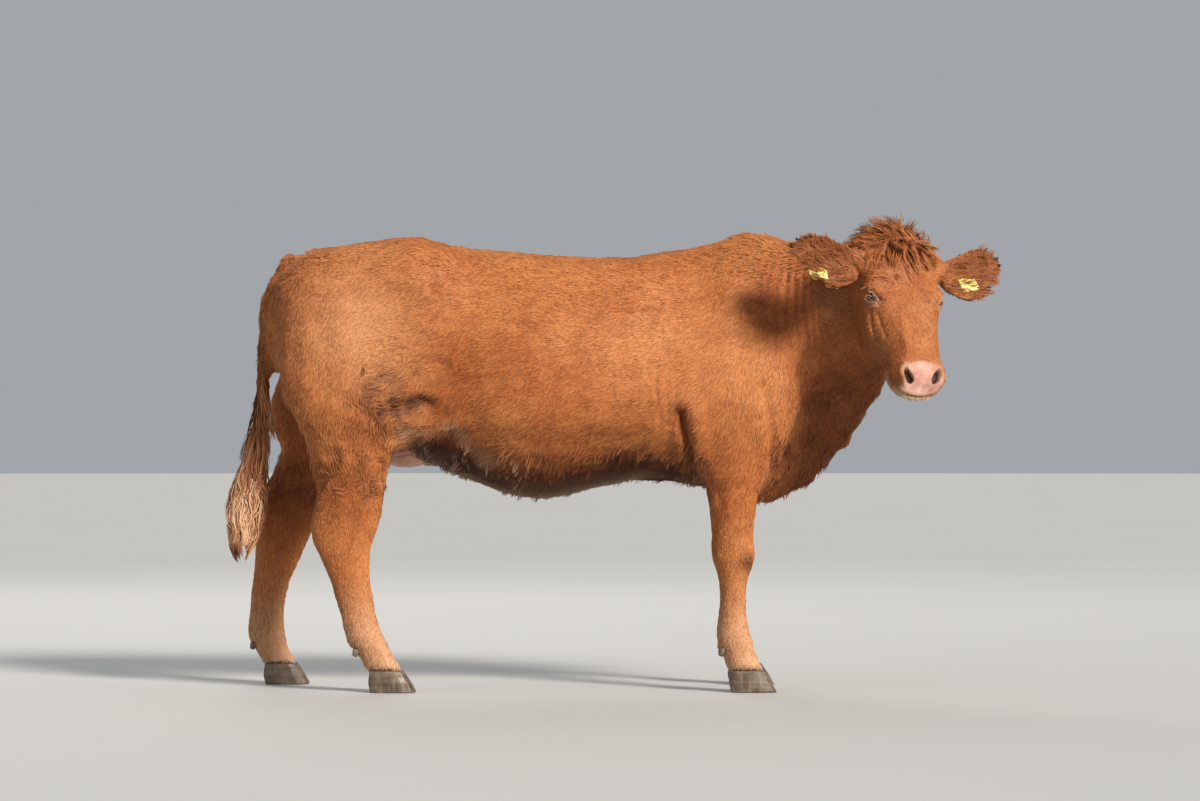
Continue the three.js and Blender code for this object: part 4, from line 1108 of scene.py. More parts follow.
def hair_sizes(f):
    """Length, width, lift (radians) and closeness of the tufts at each corner."""
    coat = bpy.context.scene.cow_coat
    x, _, z = f.co.T
    n = f.normal
    count = len(f.co)
    length = np.full(count, coat.length)
    width = np.full(count, coat.width)
    lift = np.full(count, 0.16)
    close = np.full(count, 1.0)
    top = smooth(n[:, 2], 0.75, 0.97) * f.starts("rump", "barrel", "chest", "neck")
    length += 0.008 * top
    lift += 0.10 * top * (0.4 + 0.6 * bell(x - 0.42, 0.16)) + 0.28 * top * bell(x + 0.86, 0.07)
    crest = f.starts("neck", "chest") * smooth(z, 1.10, 1.22) * smooth(x, 0.3, 0.5)
    length += 0.014 * crest
    lift += 0.22 * crest
    _, folded = neck_folds(f.co, n)
    length -= 0.011 * folded
    lift -= 0.16 * folded
    under = smooth(-n[:, 2], 0.3, 0.85) * f.starts("rump", "barrel", "chest")
    length += 0.012 * under
    lift += 0.12 * under
    shag = bell(x - CURLS_X, 0.09) * bell(z - 0.82, 0.11) * f.starts("thigh", "rump")
    shag = shag + 0.8 * f.starts("gaskin")
    length += 0.012 * shag
    width += 0.0012 * shag
    lift += 0.16 * shag
    low = f.starts("knee", "cannon", "pastern", "hock")
    length[low] = 0.0125
    width[low] = 0.0030
    lift[low] = 0.17
    close[low] = 1.8
    mid = f.starts("forearm", "gaskin")
    length[mid] = 0.018
    width[mid] = 0.0038
    close[mid] = 1.4
    heel = f.starts("pastern") * smooth(-n[:, 0], 0.3, 0.8)
    length += 0.010 * heel
    lift += 0.12 * heel
    tail = f.starts("tail")
    length[tail] = 0.030
    lift[tail] = 0.14
    head = f.on_head
    length[head] = 0.0125
    width[head] = 0.0027
    lift[head] = 0.18
    close[head] = 2.8
    q, _ = both_sides(f.local)
    brow = head * smooth(q[:, 2], 0.17, 0.05) * smooth(f.local_normal[:, 1], -0.1, 0.5)
    length += 0.015 * brow
    width += 0.0010 * brow
    lift += 0.22 * brow
    jaw = head * smooth(q[:, 1], -0.14, -0.19)
    length += 0.009 * jaw
    width += 0.0008 * jaw
    nose = head * smooth(q[:, 2], 0.30, 0.38)
    length -= 0.0050 * nose
    width -= 0.0006 * nose
    eye = np.linalg.norm(q - EYE_AT, axis=1)
    near_eye = head * smooth(eye, 0.045, 0.026)
    length = length * (1 - 0.45 * near_eye)
    close = close * np.where(head & (eye < 0.05), 1.4, 1.0)
    length[f.on_ear] = 0.017
    width[f.on_ear] = 0.0029
    lift[f.on_ear] = 0.15
    close[f.on_ear] = 2.0
    close = close * (f.bare < 0.30) * (f.hollow < 0.25)
    close[f.starts("udder")] = 0.0
    fields = np.stack((length, width, lift), 1)
    return spread(fields, f.edges, 5), close


# ---------------------------------------------------------------- tufts and locks


def corner_normals(mesh, normals):
    mesh.shade_smooth()
    mesh.normals_split_custom_set_from_vertices(normals.astype(np.float32))


def unwrap_place(f):
    """Each corner of the skin on one sheet: every part of the body is rolled out round its own axis."""
    x, y, z = f.co.T
    sheet = np.zeros((len(f.co), 2))
    turn = np.arctan2(y - MIDDLE_Y, z - 0.92) / (2 * math.pi) + 0.5
    sheet[:, 0] = 0.02 + 0.56 * (x + 1.15) / 2.1
    sheet[:, 1] = 0.02 + 0.60 * turn
    for k, leg in enumerate(("fore_right", "fore_left", "hind_right", "hind_left")):
        here = np.char.endswith(f.label, leg)
        if not here.any():
            continue
        level = np.round(z[here] / 0.02).astype(int)
        middle = np.array([f.co[here][level == s][:, :2].mean(0) if (level == s).any() else (0, 0)
                           for s in range(level.max() + 1)])[level]
        spin = np.arctan2(y[here] - middle[:, 1], x[here] - middle[:, 0]) / (2 * math.pi) + 0.5
        sheet[here, 0] = 0.02 + 0.14 * k + 0.12 * spin
        sheet[here, 1] = 0.65 + 0.33 * z[here] / 0.72
    head = f.on_head
    spin = np.arctan2(f.local[:, 0], f.local[:, 1] + 0.10) / (2 * math.pi) + 0.5
    sheet[head, 0] = 0.61 + 0.37 * spin[head]
    sheet[head, 1] = 0.02 + 0.45 * (f.local[head, 2] + 0.10) / 0.60
    tail = f.starts("tail")
    spin = np.arctan2(y - MIDDLE_Y, x - TAIL_X) / (2 * math.pi) + 0.5
    sheet[tail, 0] = 0.61 + 0.10 * spin[tail]
    sheet[tail, 1] = 0.50 + 0.20 * (z[tail] - 0.70) / 0.60
    inside = ear_inside(f)
    for k, name in enumerate(EARS):
        root, along, across, _ = ear_axes(name)
        here = f.label == "ear_" + name
        off = f.co[here] - root
        sheet[here, 0] = 0.74 + 0.12 * k + 0.10 * (off @ along) / 0.30
        sheet[here, 1] = 0.50 + 0.10 * (off @ across + 0.10) / 0.20 + 0.12 * (inside[here] > 0.5)
    return sheet


class Roots:
    """Random places on a surface with all that the hair does there: its way, sizes, marks and sheet."""

    def __init__(self, f, fields, allowed, closeness, density, seed, most=None):
        mesh = f.mesh
        mesh.calc_loop_triangles()
        tri = np.empty(len(mesh.loop_triangles) * 3, np.int64)
        mesh.loop_triangles.foreach_get("vertices", tri)
        tri = tri.reshape(-1, 3)
        a, b, c = (f.co[tri[:, i]] for i in range(3))
        area = 0.5 * np.linalg.norm(np.cross(b - a, c - a), axis=1)
        wanted = area * density * closeness[tri].mean(1) * allowed[tri].all(1)
        if most and wanted.sum() > most:
            wanted *= most / wanted.sum()
        rng = np.random.default_rng(seed)
        count = np.floor(wanted + rng.random(len(wanted))).astype(int)
        tri = np.repeat(tri, count, axis=0)
        s = np.sqrt(rng.random(len(tri)))
        t = rng.random(len(tri))
        share = np.stack((1 - s, s * (1 - t), s * t), 1)[:, :, None]
        self.count = len(tri)
        self.rng = rng
        self.place = (f.co[tri] * share).sum(1)
        self.normal = unit((f.normal[tri] * share).sum(1))
        for name, values in fields.items():
            setattr(self, name, (values[tri] * share).sum(1))
        self.sheet = fields["sheet"][tri[:, 0]]  # the first corner's place, as a mean can fall across a seam


TUFT_FACES = np.array(((0, 3, 2), (1, 2, 3), (0, 1, 3), (0, 2, 1)))  # a thin closed spike on four corners
PATCH = 0.003  # a tuft's patch on the sheet
TUFT_PATCH = np.array(((-0.5, -0.5), (0.5, -0.5), (0.0, 0.0), (0.0, 0.5))) * PATCH


def tuft_mesh(name, roots):
    """Short hair: each tuft is a flat spike with a ridge, its root under the skin."""
    r = roots
    rng = r.rng
    n = r.normal
    turn = rng.normal(0, 0.16, r.count)
    way = unit(r.way - n * (r.way * n).sum(1, keepdims=True))
    way = way * np.cos(turn)[:, None] + np.cross(n, way) * np.sin(turn)[:, None]
    across = np.cross(n, way)
    length = r.sizes[:, 0] * rng.uniform(0.70, 1.25, r.count)
    half = 0.5 * r.sizes[:, 1] * rng.uniform(0.75, 1.25, r.count)
    lift = np.clip(r.sizes[:, 2] + rng.normal(0, 0.05, r.count), 0.05, 1.3)
    cos, sin = np.cos(lift)[:, None], np.sin(lift)[:, None]
    length, half = length[:, None], half[:, None]
    base = r.place - n * 0.0012
    tip = base + way * (length * cos) + n * (length * sin * 0.85 + 0.0010)
    ridge = base + way * (length * 0.38 * cos) + n * (length * 0.38 * sin + 0.0030 + 0.12 * half)
    corners = np.stack((base - across * half, base + across * half, ridge, tip), 1)
    tone = rng.random(r.count)
    along = np.array((0.0, 0.0, 0.5, 1.0))
    rest = np.zeros(4 * r.count)
    hair = np.stack((np.repeat(tone, 4), np.tile(along, r.count), rest, rest + 1), 1)
    out = unit(0.72 * n + 0.28 * unit(n * cos - way * sin))
    fan = np.stack((out - 0.38 * across, out + 0.38 * across, out, out), 1)
    return spikes(name, corners, TUFT_FACES, hair, np.repeat(r.marks, 4, axis=0), unit(fan.reshape(-1, 3)),
                  r.sheet[:, None, :] + TUFT_PATCH)


def spikes(name, corners, faces, hair, marks, normals, sheet):
    """A mesh of many equal closed spikes from their corners."""
    count, each = corners.shape[:2]
    triangles = (np.arange(count)[:, None, None] * each + faces).reshape(-1)
    mesh = bpy.data.meshes.new(name)
    mesh.vertices.add(count * each)
    mesh.vertices.foreach_set("co", corners.astype(np.float32).ravel())
    mesh.loops.add(len(triangles))
    mesh.loops.foreach_set("vertex_index", triangles.astype(np.int32))
    mesh.polygons.add(len(triangles) // 3)
    mesh.polygons.foreach_set("loop_start", np.arange(0, len(triangles), 3, dtype=np.int32))
    mesh.update(calc_edges=True)
    set_attribute(mesh, "hair", "FLOAT_COLOR", hair)
    set_attribute(mesh, "marks", "FLOAT_COLOR", marks)
    layer = mesh.uv_layers.new(name="OFBake")
    layer.uv.foreach_set("vector", sheet.reshape(-1, 2)[triangles].astype(np.float32).ravel())
    corner_normals(mesh, normals)
    return mesh


LOCK_SIDES = 3


def guides(places, clump, rng):
    """Index of the lock that each lock gathers towards: one in every clump of neighbours."""
    chosen = rng.permutation(len(places))[:max(1, len(places) // clump)]
    tree = kdtree.KDTree(len(chosen))
    for i in chosen:
        tree.insert(places[i], i)
    tree.balance()
    return np.fromiter((tree.find(p)[1] for p in places), np.int64, len(places))


def lock_lines(r, steps, droop, wave, clump=0, free=False, turns=5.0):
    """Middle lines of long hair, which bend down, wave and gather into clumps towards their tips."""
    rng, n = r.rng, r.normal
    way = unit(r.way - n * (r.way * n).sum(1, keepdims=True))
    turn = rng.normal(0, 0.20, r.count)
    way = way * np.cos(turn)[:, None] + np.cross(n, way) * np.sin(turn)[:, None]
    lift = np.clip(r.sizes[:, 2] + rng.normal(0, 0.10, r.count), 0.03, 1.5)[:, None]
    length = (r.sizes[:, 0] * rng.uniform(0.65, 1.2, r.count))[:, None]
    heading = unit(r.way + n * np.sin(lift)) if free else way * np.cos(lift) + n * np.sin(lift)
    across = unit(np.cross(n, heading))
    phase = rng.uniform(0, 2 * math.pi, r.count)[:, None]
    point = r.place - n * 0.002
    lines = [point]
    for k in range(1, steps + 1):
        t = k / steps
        point = point + heading * length / steps
        lines.append(point + across * (np.sin(phase + turns * t) - np.sin(phase)) * wave * length * t)
        heading = unit(heading - UP * (droop / steps))
    lines = np.stack(lines, 1)
    if clump:
        guide = guides(r.place, clump, rng)
        pull = (0.78 * np.linspace(0, 1, steps + 1) ** 0.8)[None, :, None]
        lines = lines + (lines[guide] - lines) * pull
    return lines


def lock_mesh(name, r, lines, thin=0.5):
    """Long hair: each lock is a closed three-sided ribbon on its line that tapers to a point."""
    steps = lines.shape[1] - 1
    half = (0.5 * r.sizes[:, 1] * r.rng.uniform(0.7, 1.3, r.count))[:, None]
    heading = unit(np.gradient(lines, axis=1))
    normal = r.normal[:, None, :]
    across = unit(np.cross(np.broadcast_to(normal, heading.shape), heading))
    thick = np.cross(heading, across)
    rows = []
    for k in range(steps):
        taper = half * (1 - k / steps) ** 0.55
        for a in (math.pi / 2, math.pi * 7 / 6, math.pi * 11 / 6):
            off = across[:, k] * math.cos(a) + thick[:, k] * (thin * math.sin(a))
            rows.append(lines[:, k] + taper * off)
    rows.append(lines[:, steps])
    corners = np.stack(rows, 1)
    faces = [(0, 2, 1)]
    for k in range(steps - 1):
        for i in range(LOCK_SIDES):
            a, b = LOCK_SIDES * k + i, LOCK_SIDES * k + (i + 1) % LOCK_SIDES
            faces += [(a, b, b + LOCK_SIDES), (a, b + LOCK_SIDES, a + LOCK_SIDES)]
    last = LOCK_SIDES * (steps - 1)
    faces += [(last + i, last + (i + 1) % LOCK_SIDES, last + LOCK_SIDES) for i in range(LOCK_SIDES)]
    each = corners.shape[1]
    level = np.array([k / steps for k in range(steps) for _ in range(LOCK_SIDES)] + [1.0])
    tone = np.repeat(r.rng.random(r.count), each)
    hair = np.stack((tone, np.tile(level, r.count), np.zeros(len(tone)), np.ones(len(tone))), 1)
    ring = np.tile(np.array([0.0, -1.0, 1.0] * steps + [0.0])[:, None], (r.count, 1))
    round_way = corners - np.repeat(lines, [LOCK_SIDES] * steps + [1], axis=1)
    round_way[:, -1] = thick[:, -1]
    normals = unit(unit(round_way) + 0.55 * normal).reshape(-1, 3)
    back = np.concatenate((np.repeat(np.linspace(-0.5, 0.4, steps), LOCK_SIDES), (0.5,)))
    patch = np.stack((0.5 * ring[:each, 0], back), 1)
    sheet = r.sheet[:, None, :] + patch * PATCH
    return spikes(name, corners, np.array(faces), hair, np.repeat(r.marks, each, axis=0), normals, sheet)


COAT_REGIONS = (  # piece, first words of the nodes under it, side (0 is both)
    ("coat_quarter_right", ("rump", "thigh"), -1),
    ("coat_quarter_left", ("rump", "thigh"), 1),
    ("coat_barrel_right", ("barrel",), -1),
    ("coat_barrel_left", ("barrel",), 1),
    ("coat_shoulders", ("chest",), 0),
    ("coat_neck", ("neck", "tail"), 0),
    ("coat_legs", LEG_WORDS, 0),
    ("coat_head", ("head", "muzzle", "chin", "eye"), 0),
    ("coat_ears", ("ear",), 0),
)
FIRST_SEED = 100
MOST_TUFTS = 42000  # in one piece; the whole coat comes to about 1.5 million triangles


class COW_OT_coat(bpy.types.Operator):
    """Grows the short coat: tufts that follow the lie of the hair"""

    bl_idname = "cow.coat"
    bl_label = "Coat"

    def execute(self, context):
        f = Fleece(bpy.data.objects["skin"])
        sizes, close = hair_sizes(f)
        density = context.scene.cow_coat.density
        fields = {"way": hair_lie(f), "sizes": sizes, "marks": f.marks(), "sheet": unwrap_place(f)}
        material = coat_material()
        side = np.where(f.co[:, 1] < MIDDLE_Y, -1, 1)
        for seed, (name, words, which) in enumerate(COAT_REGIONS, FIRST_SEED):
            here = f.starts(*words)
            if which:
                here &= side == which
            here = touched(here, f.edges)
            roots = Roots(f, fields, here, close, density, seed, MOST_TUFTS)
            piece = new_object(name, tuft_mesh(name, roots))
            finish_piece(piece, "coat", material)
        return {"FINISHED"}


def touched(mask, edges):
    """The mask and the corners next to it, so that neighbouring pieces leave no bare strip between them."""
    out = mask.copy()
    out[edges[mask[edges[:, 0]], 1]] = True
    out[edges[mask[edges[:, 1]], 0]] = True
    return out


class COW_OT_locks(bpy.types.Operator):
    """Adds the long hair: topknot, ear fringes, switch, belly and leg fringes"""

    bl_idname = "cow.locks"
    bl_label = "Long hair"

    def execute(self, context):
        f = Fleece(bpy.data.objects["skin"])
        self.f, self.marks = f, f.marks().astype(float)
        self.lie = hair_lie(f)
        self.sheet = unwrap_place(f)
        self.material = coat_material()
        self.thin = 1.0
        self.topknot()
        self.ear_hair()
        self.body_hair()
        self.switch()
        return {"FINISHED"}

    def grow(self, name, mask, density, seed, sizes, shape, way=None, marks=None, slot="coat"):
        """Adds a piece of long hair. Sizes are length, width and lift, shape is as in lock_lines."""
        f = self.f
        spread_out = np.stack([np.broadcast_to(v, len(f.co)) for v in sizes], 1)
        fields = {"way": self.lie if way is None else way, "sizes": spread_out,
                  "marks": self.marks if marks is None else marks, "sheet": self.sheet}
        roots = Roots(f, fields, mask > 0.02, np.clip(mask, 0, 1), density * self.thin, seed)
        mesh = lock_mesh(name, roots, lock_lines(roots, *shape))
        finish_piece(new_object(name, mesh), slot, self.material)

    def topknot(self):
        """Curly hair on the poll, blown to the right, and the wavy hair that falls on the forehead."""
        f = self.f
        q, n = f.local, f.local_normal
        back = f.on_head * smooth(q[:, 2], 0.040, -0.01) * smooth(q[:, 1], -0.13, -0.06)
        way = np.stack((q[:, 0] * 3.0 - 0.42, 0.16 + 0.6 * (q[:, 1] + 0.05), np.full(len(q), -0.30)), 1)
        length = 0.056 + 0.022 * smooth(-q[:, 2], -0.03, 0.05)
        self.grow("topknot", back, 74000, 201, (length, 0.0036, 0.66), (6, 0.75, 0.22, 9),
                  unit(way) @ HEAD_AXES)
        front = f.on_head * bell(q[:, 2] - 0.015, 0.035) * smooth(n[:, 1], 0.0, 0.4) * smooth(
            np.abs(q[:, 0]), 0.105, 0.075)
        way = np.stack((q[:, 0] * 9.0 - 0.10, np.zeros(len(q)), np.ones(len(q))), 1)
        self.grow("forelock", front, 56000, 210, (0.072, 0.0044, 0.40), (6, 0.55, 0.12, 16),
                  unit(way) @ HEAD_AXES)
        brow = f.on_head * bell(q[:, 2] - 0.095, 0.068) * smooth(n[:, 1], -0.15, 0.35)
        self.grow("forehead_hair", brow, 42000, 211, (0.026, 0.0036, 0.24), (4, 0.20, 0.26, 7))

    def ear_hair(self):
        f = self.f
        inner = np.zeros(len(f.co))
        outer = np.zeros(len(f.co))
        fringe = np.zeros(len(f.co))
        long = np.full(len(f.co), 0.052)
        way = self.lie.copy()
        for name in EARS:
            root, along, across, thick = ear_axes(name)
            here = f.label == "ear_" + name
            off = f.co[here] - root
            u, v = off @ along, off @ across
            middle, reach = v.mean(), np.abs(v - v.mean()).max()
            tag, _ = read_mesh(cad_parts["tag_" + name].data)
            clear = smooth(np.linalg.norm(f.co[here] - tag.mean(0), axis=1), 0.008, 0.022)
            facing = f.normal[here] @ thick
            inner[here] = smooth(facing, 0.1, 0.5) * clear
            outer[here] = smooth(-facing, 0.1, 0.5)
            sides = smooth(np.abs(v - middle), 0.60 * reach, 0.88 * reach)
            fringe[here] = (sides + smooth(u, 0.19, 0.23)).clip(0, 1)
            fringe[here] *= np.maximum(clear, 0.3)
            near_rim = smooth(np.abs(v - middle), 0.50 * reach, 0.95 * reach)
            long[here] -= 0.032 * np.maximum(smooth(u, 0.10, 0.21), 0.7 * near_rim)
            way[here] = along + across * ((v - middle) * 9.5)[:, None]
        marks = self.marks.copy()
        marks[:, 2] = np.maximum(marks[:, 2], 0.35 * (fringe > 0.2))
        marks[:, 1] = np.where(fringe > 0.2, 0.12, marks[:, 1])
        self.grow("ear_fringe", fringe, 80000, 202, (0.026, 0.0023, 0.18), (4, 0.60, 0.16, 5), way, marks)
        self.grow("ear_inner_hair", inner, 42000, 203, (long, 0.0031, 0.24), (5, 0.35, 0.17, 11), way)
        self.grow("ear_outer_hair", outer, 26000, 212, (0.024, 0.0036, 0.16), (4, 0.3, 0.08, 5), way)

    def body_hair(self):
        """Longer hair where the coat hangs or stands: belly, elbows, thighs, tail head, crest and jaw."""
        f = self.f
        x, y, z = f.co.T
        n = f.normal
        side = np.abs(y - MIDDLE_Y)
        body = f.starts("barrel", "rump", "chest")
        patchy = (0.5 + 0.6 * ripple(f.co, 0.07, 41)).clip(0, 1)
        belly = body * smooth(-n[:, 2], 0.25, 0.8) * smooth(z, 0.80, 0.70) * patchy
        elbow = f.starts("chest", "forearm") * bell(x - 0.215, 0.035) * bell(z - 0.61, 0.07)
        elbow = elbow * smooth(-n[:, 0], -0.2, 0.5)
        brisket = f.starts("chest", "neck") * smooth(x, 0.40, 0.55) * smooth(z, 0.80, 0.66) * patchy
        hams = f.starts("thigh", "gaskin", "rump") * smooth(-n[:, 0], 0.55, 0.9) * smooth(z, 1.0, 0.85)
        hams = hams * smooth(z, 0.45, 0.55)
        hanging = np.clip(belly + elbow + brisket + 0.7 * hams, 0, 1)
        marks = self.marks.copy()
        marks[:, 0] += 0.35 * elbow + 0.30 * belly * patchy * (x < -0.25)
        self.grow("hanging_hair", hanging, 8500, 204, (0.040, 0.0050, 0.26), (4, 0.75, 0.10, 5),
                  self.lie - UP * 0.7, marks)
        head_top = bell(x + 0.90, 0.07) * smooth(z, 1.10, 1.18) * smooth(side, 0.16, 0.06)
        crest = f.starts("neck", "chest") * smooth(x, 0.25, 0.42) * smooth(n[:, 2], 0.40, 0.8)
        nape = f.starts("neck") * smooth(z, 1.20, 1.27)
        standing = np.clip(head_top * f.starts("rump", "tail") + 0.8 * np.maximum(crest, nape), 0, 1)
        self.grow("standing_hair", standing, 30000, 205, (0.031, 0.0030, 0.38), (4, 0.25, 0.12, 3))
        curl = bell(x - CURLS_X, 0.080) * bell(z - CURLS_Z, 0.10) * f.starts("thigh", "rump")
        curl = curl + 0.5 * f.starts("gaskin") * smooth(z, 0.50, 0.60)
        marks = self.marks.copy()
        marks[:, 1] += 0.40 * curl * (ripple(f.co, 0.03, 42) > 0.1)
        self.grow("curly_hair", curl, 16000, 206, (0.030, 0.0044, 0.28), (5, 0.30, 0.42, 9), None, marks)
        tail = f.starts("tail") * smooth(z, 1.22, 1.10) * smooth(-n[:, 2], 0.6, 0.3)
        self.grow("tail_hair", tail, 30000, 213, (0.045, 0.0044, 0.14), (4, 0.8, 0.10, 5))
        marks = self.marks.copy()
        marks[:, :3] = (0.10, 0.22, 0.42)
        tail_end = f.starts("tail") * smooth(z, 0.94, 0.84) * smooth(-n[:, 2], 0.45, 0.15)
        self.grow("tail_end_hair", tail_end, 46000, 214, (0.145, 0.0052, 0.06),
                  (7, 2.0, 0.09, 12), None, marks, "switch_hair")
        q = f.local
        jaw = f.on_head * smooth(q[:, 1], -0.165, -0.215) * smooth(q[:, 2], -0.02, 0.03)
        self.grow("jaw_hair", jaw, 30000, 207, (0.026, 0.0032, 0.30), (3, 0.3, 0.12, 4))
        lips = f.on_head * smooth(q[:, 2], 0.37, 0.40)
        lips = lips * smooth(q[:, 1], MOUTH_LEVEL + 0.024, MOUTH_LEVEL + 0.004)
        marks = self.marks.copy()
        marks[:, 0] = 0.55
        self.grow("chin_hair", lips * (f.bare < 0.3), 60000, 208, (0.013, 0.0016, 0.42), (3, 0.2, 0.06, 0),
                  None, marks, "chin_hair")

    def switch(self):
        """The bush of long hair at the tail's end, on a core that runs down inside it."""
        core = merged_copy("switch_core", ["tail_switch"])
        apply_modifier(core, "REMESH", mode="VOXEL", voxel_size=0.009)
        co, edges = read_mesh(core.data)
        co = fair(co, edges, np.full(len(co), 12))
        heights = np.arange(co[:, 2].min() + 0.01, co[:, 2].max(), 0.02)
        rows = [co[np.abs(co[:, 2] - h) < 0.013] for h in heights]
        centre = np.array([(r.min(0) + r.max(0)) / 2 for r in rows])
        reach = np.array([(r.max(0) - r.min(0)) / 2 for r in rows]).clip(0.012, 1)
        bush = Bush(heights, centre, reach)
        middle, _ = bush.at(co[:, 2])
        share = 0.22 + 0.40 * smooth(co[:, 2], 0.40, 0.60)[:, None]
        co[:, :2] = middle + (co[:, :2] - middle) * share
        co[:, 2] = np.maximum(co[:, 2], 0.44 + 0.1 * (co[:, 2] - 0.30))
        write_mesh(core.data, co)
        pick(core)
        bpy.ops.object.shade_smooth()
        count = len(co)
        normal = normals_of(core.data)
        blond = smooth(ripple(co, 0.045, 51), -0.9, 0.4) * smooth(co[:, 2], 0.76, 0.62)
        marks = np.stack((0.72 * blond, 0.50 * (1 - blond), 0.15 + 0.3 * blond, np.ones(count)), 1)
        # Painted shade: the core is darker than its locks, for the shade inside the bush.
        set_attribute(core.data, "marks", "FLOAT_COLOR", marks * (0.5, 1.2, 0.5, 1))
        set_attribute(core.data, "hair", "FLOAT_COLOR", np.tile((0.1, 0.0, 0.0, 1.0), (count, 1)))
        spin = np.arctan2(co[:, 1] - middle[:, 1], co[:, 0] - middle[:, 0]) / (2 * math.pi) + 0.5
        sheet = np.stack((0.61 + 0.10 * spin, 0.72 + 0.26 * (co[:, 2] - 0.25) / 0.55), 1)
        length = (co[:, 2] - 0.375).clip(0.05, 0.19)
        sizes = np.stack((length, np.full(count, 0.0066), np.full(count, 0.22)), 1)
        way = np.tile((-0.10, 0.0, -1.0), (count, 1))
        fields = {"way": way, "sizes": sizes, "marks": marks, "sheet": sheet}
        surface = Surface(core.data, co, normal)
        roots = Roots(surface, fields, normal[:, 2] < 0.7, np.ones(count), 26000 * self.thin, 209)
        finish_piece(core, "switch_hair", self.material, "tail_switch")
        lines = lock_lines(roots, 8, 0.5, 0.16, 34, True, 9.0)
        mesh = lock_mesh("switch_locks", roots, bush.keep_inside(lines))
        finish_piece(new_object("switch_locks", mesh), "switch_hair", self.material)


class Bush:
    """Outline of the tail's bush: its middle and half-widths at each height."""

    def __init__(self, heights, centre, reach):
        self.heights, self.centre, self.reach = heights, centre, reach

    def at(self, z):
        def read(table):
            return np.stack([np.interp(z, self.heights, table[:, i]) for i in (0, 1)], -1)
        return read(self.centre), read(self.reach)

    def keep_inside(self, lines):
        """Pulls the locks' lines in to the outline."""
        middle, reach = self.at(lines[:, :, 2])
        off = lines[:, :, :2] - middle
        far = np.linalg.norm(off / reach, axis=2, keepdims=True)
        room = 0.86 + 0.34 * np.abs(ripple(lines[:, 0], 0.02, 52))[:, None, None].clip(0, 1)
        lines[:, :, :2] = middle + off * np.minimum(1, room / np.maximum(far, 1e-6))
        return lines


# ---------------------------------------------------------------- eyes, claws, tags


class COW_OT_eyes(bpy.types.Operator):
    """Models the two eyeballs with iris, long pupil and a clear bulge in front"""

    bl_idname = "cow.eyes"
    bl_label = "Eyes"

    def execute(self, context):
        material = eye_material()
        for name, side in (("right", -1), ("left", 1)):
            turn = np.array((side, 1, 1))
            centre = from_head(EYE_AT * turn)
            out = unit(GAZE * turn) @ HEAD_AXES
            long_way = unit(SLIT_WAY * turn) @ HEAD_AXES
            long_way = unit(long_way - out * (long_way @ out))
            bpy.ops.object.select_all(action="DESELECT")
            bpy.ops.mesh.primitive_uv_sphere_add(segments=48, ring_count=32, radius=EYE_RADIUS)
            eye = bpy.context.active_object
            eye.name = "eyeball_" + name
            co, _ = read_mesh(eye.data)
            high = np.cross(long_way, out)
            co = unit(co)
            facing = co[:, 2]
            bulge = 1 + 0.055 * smooth(facing, 0.78, 0.97)
            ball = co[:, :1] * long_way + co[:, 1:2] * high + facing[:, None] * out
            place = EYE_RADIUS * bulge[:, None] * ball
            write_mesh(eye.data, centre + place)
            oval = np.sqrt((co[:, 0] / 0.42) ** 2 + (co[:, 1] / 0.17) ** 2)
            zones = np.stack((smooth(facing, 0.70, 0.76), smooth(oval, 1.10, 0.90) * (facing > 0),
                              smooth(facing, 0.35, 0.62), np.ones(len(co))), 1)
            set_attribute(eye.data, "eye_zones", "FLOAT_COLOR", zones)
            bpy.ops.object.mode_set(mode="EDIT")
            bpy.ops.mesh.select_all(action="SELECT")
            bpy.ops.mesh.normals_make_consistent(inside=False)
            bpy.ops.object.mode_set(mode="OBJECT")
            bpy.ops.object.shade_smooth()
            finish_piece(eye, "eye", material, "eye_" + name)
        return {"FINISHED"}


class COW_OT_claws(bpy.types.Operator):
    """Rounds the claws and dewclaws and keeps their soles flat"""

    bl_idname = "cow.claws"
    bl_label = "Claws"

    def execute(self, context):
        material = horn_material()
        for node in nodes_named("claw_", "dewclaw_"):
            small = node.startswith("dewclaw")
            piece = merged_copy("horn_" + node, [node])
            apply_modifier(piece, "REMESH", mode="VOXEL", voxel_size=0.0022 if small else 0.0034)
            co, edges = read_mesh(piece.data)
            level = 0.0 if small else co[:, 2].min()
            co = fair(co, edges, np.full(len(co), 5))
            n = normals_of(piece.data)
            if not small:
                grown = 0.0005 * np.sin(co[:, 2] / 0.0011 + 30 * co[:, 0]) * (np.abs(n[:, 2]) < 0.7)
                co = co + n * grown[:, None]
                co[:, 2] = np.where(co[:, 2] < level + 0.0022, level, co[:, 2])
            write_mesh(piece.data, co)
            pick(piece)
            bpy.ops.object.shade_smooth()
            finish_piece(piece, "horn", material, node)
        return {"FINISHED"}


class COW_OT_tags(bpy.types.Operator):
    """Rounds the ear tags: flag corners, rims, stud and button"""

    bl_idname = "cow.tags"
    bl_label = "Ear tags"

    def execute(self, context):
        material = tag_material()
        for name in EARS:
            tag = merged_copy("plain_tag_" + name, ["tag_" + name])
            pick(tag)
            apply_modifier(tag, "BEVEL", width=0.0007, segments=2, limit_method="ANGLE",
                           angle_limit=math.radians(50))
            bpy.ops.object.shade_smooth_by_angle(angle=math.radians(40))
            finish_piece(tag, "tag", material, "tag_" + name)
        return {"FINISHED"}


# ---------------------------------------------------------------- floor, lights and camera

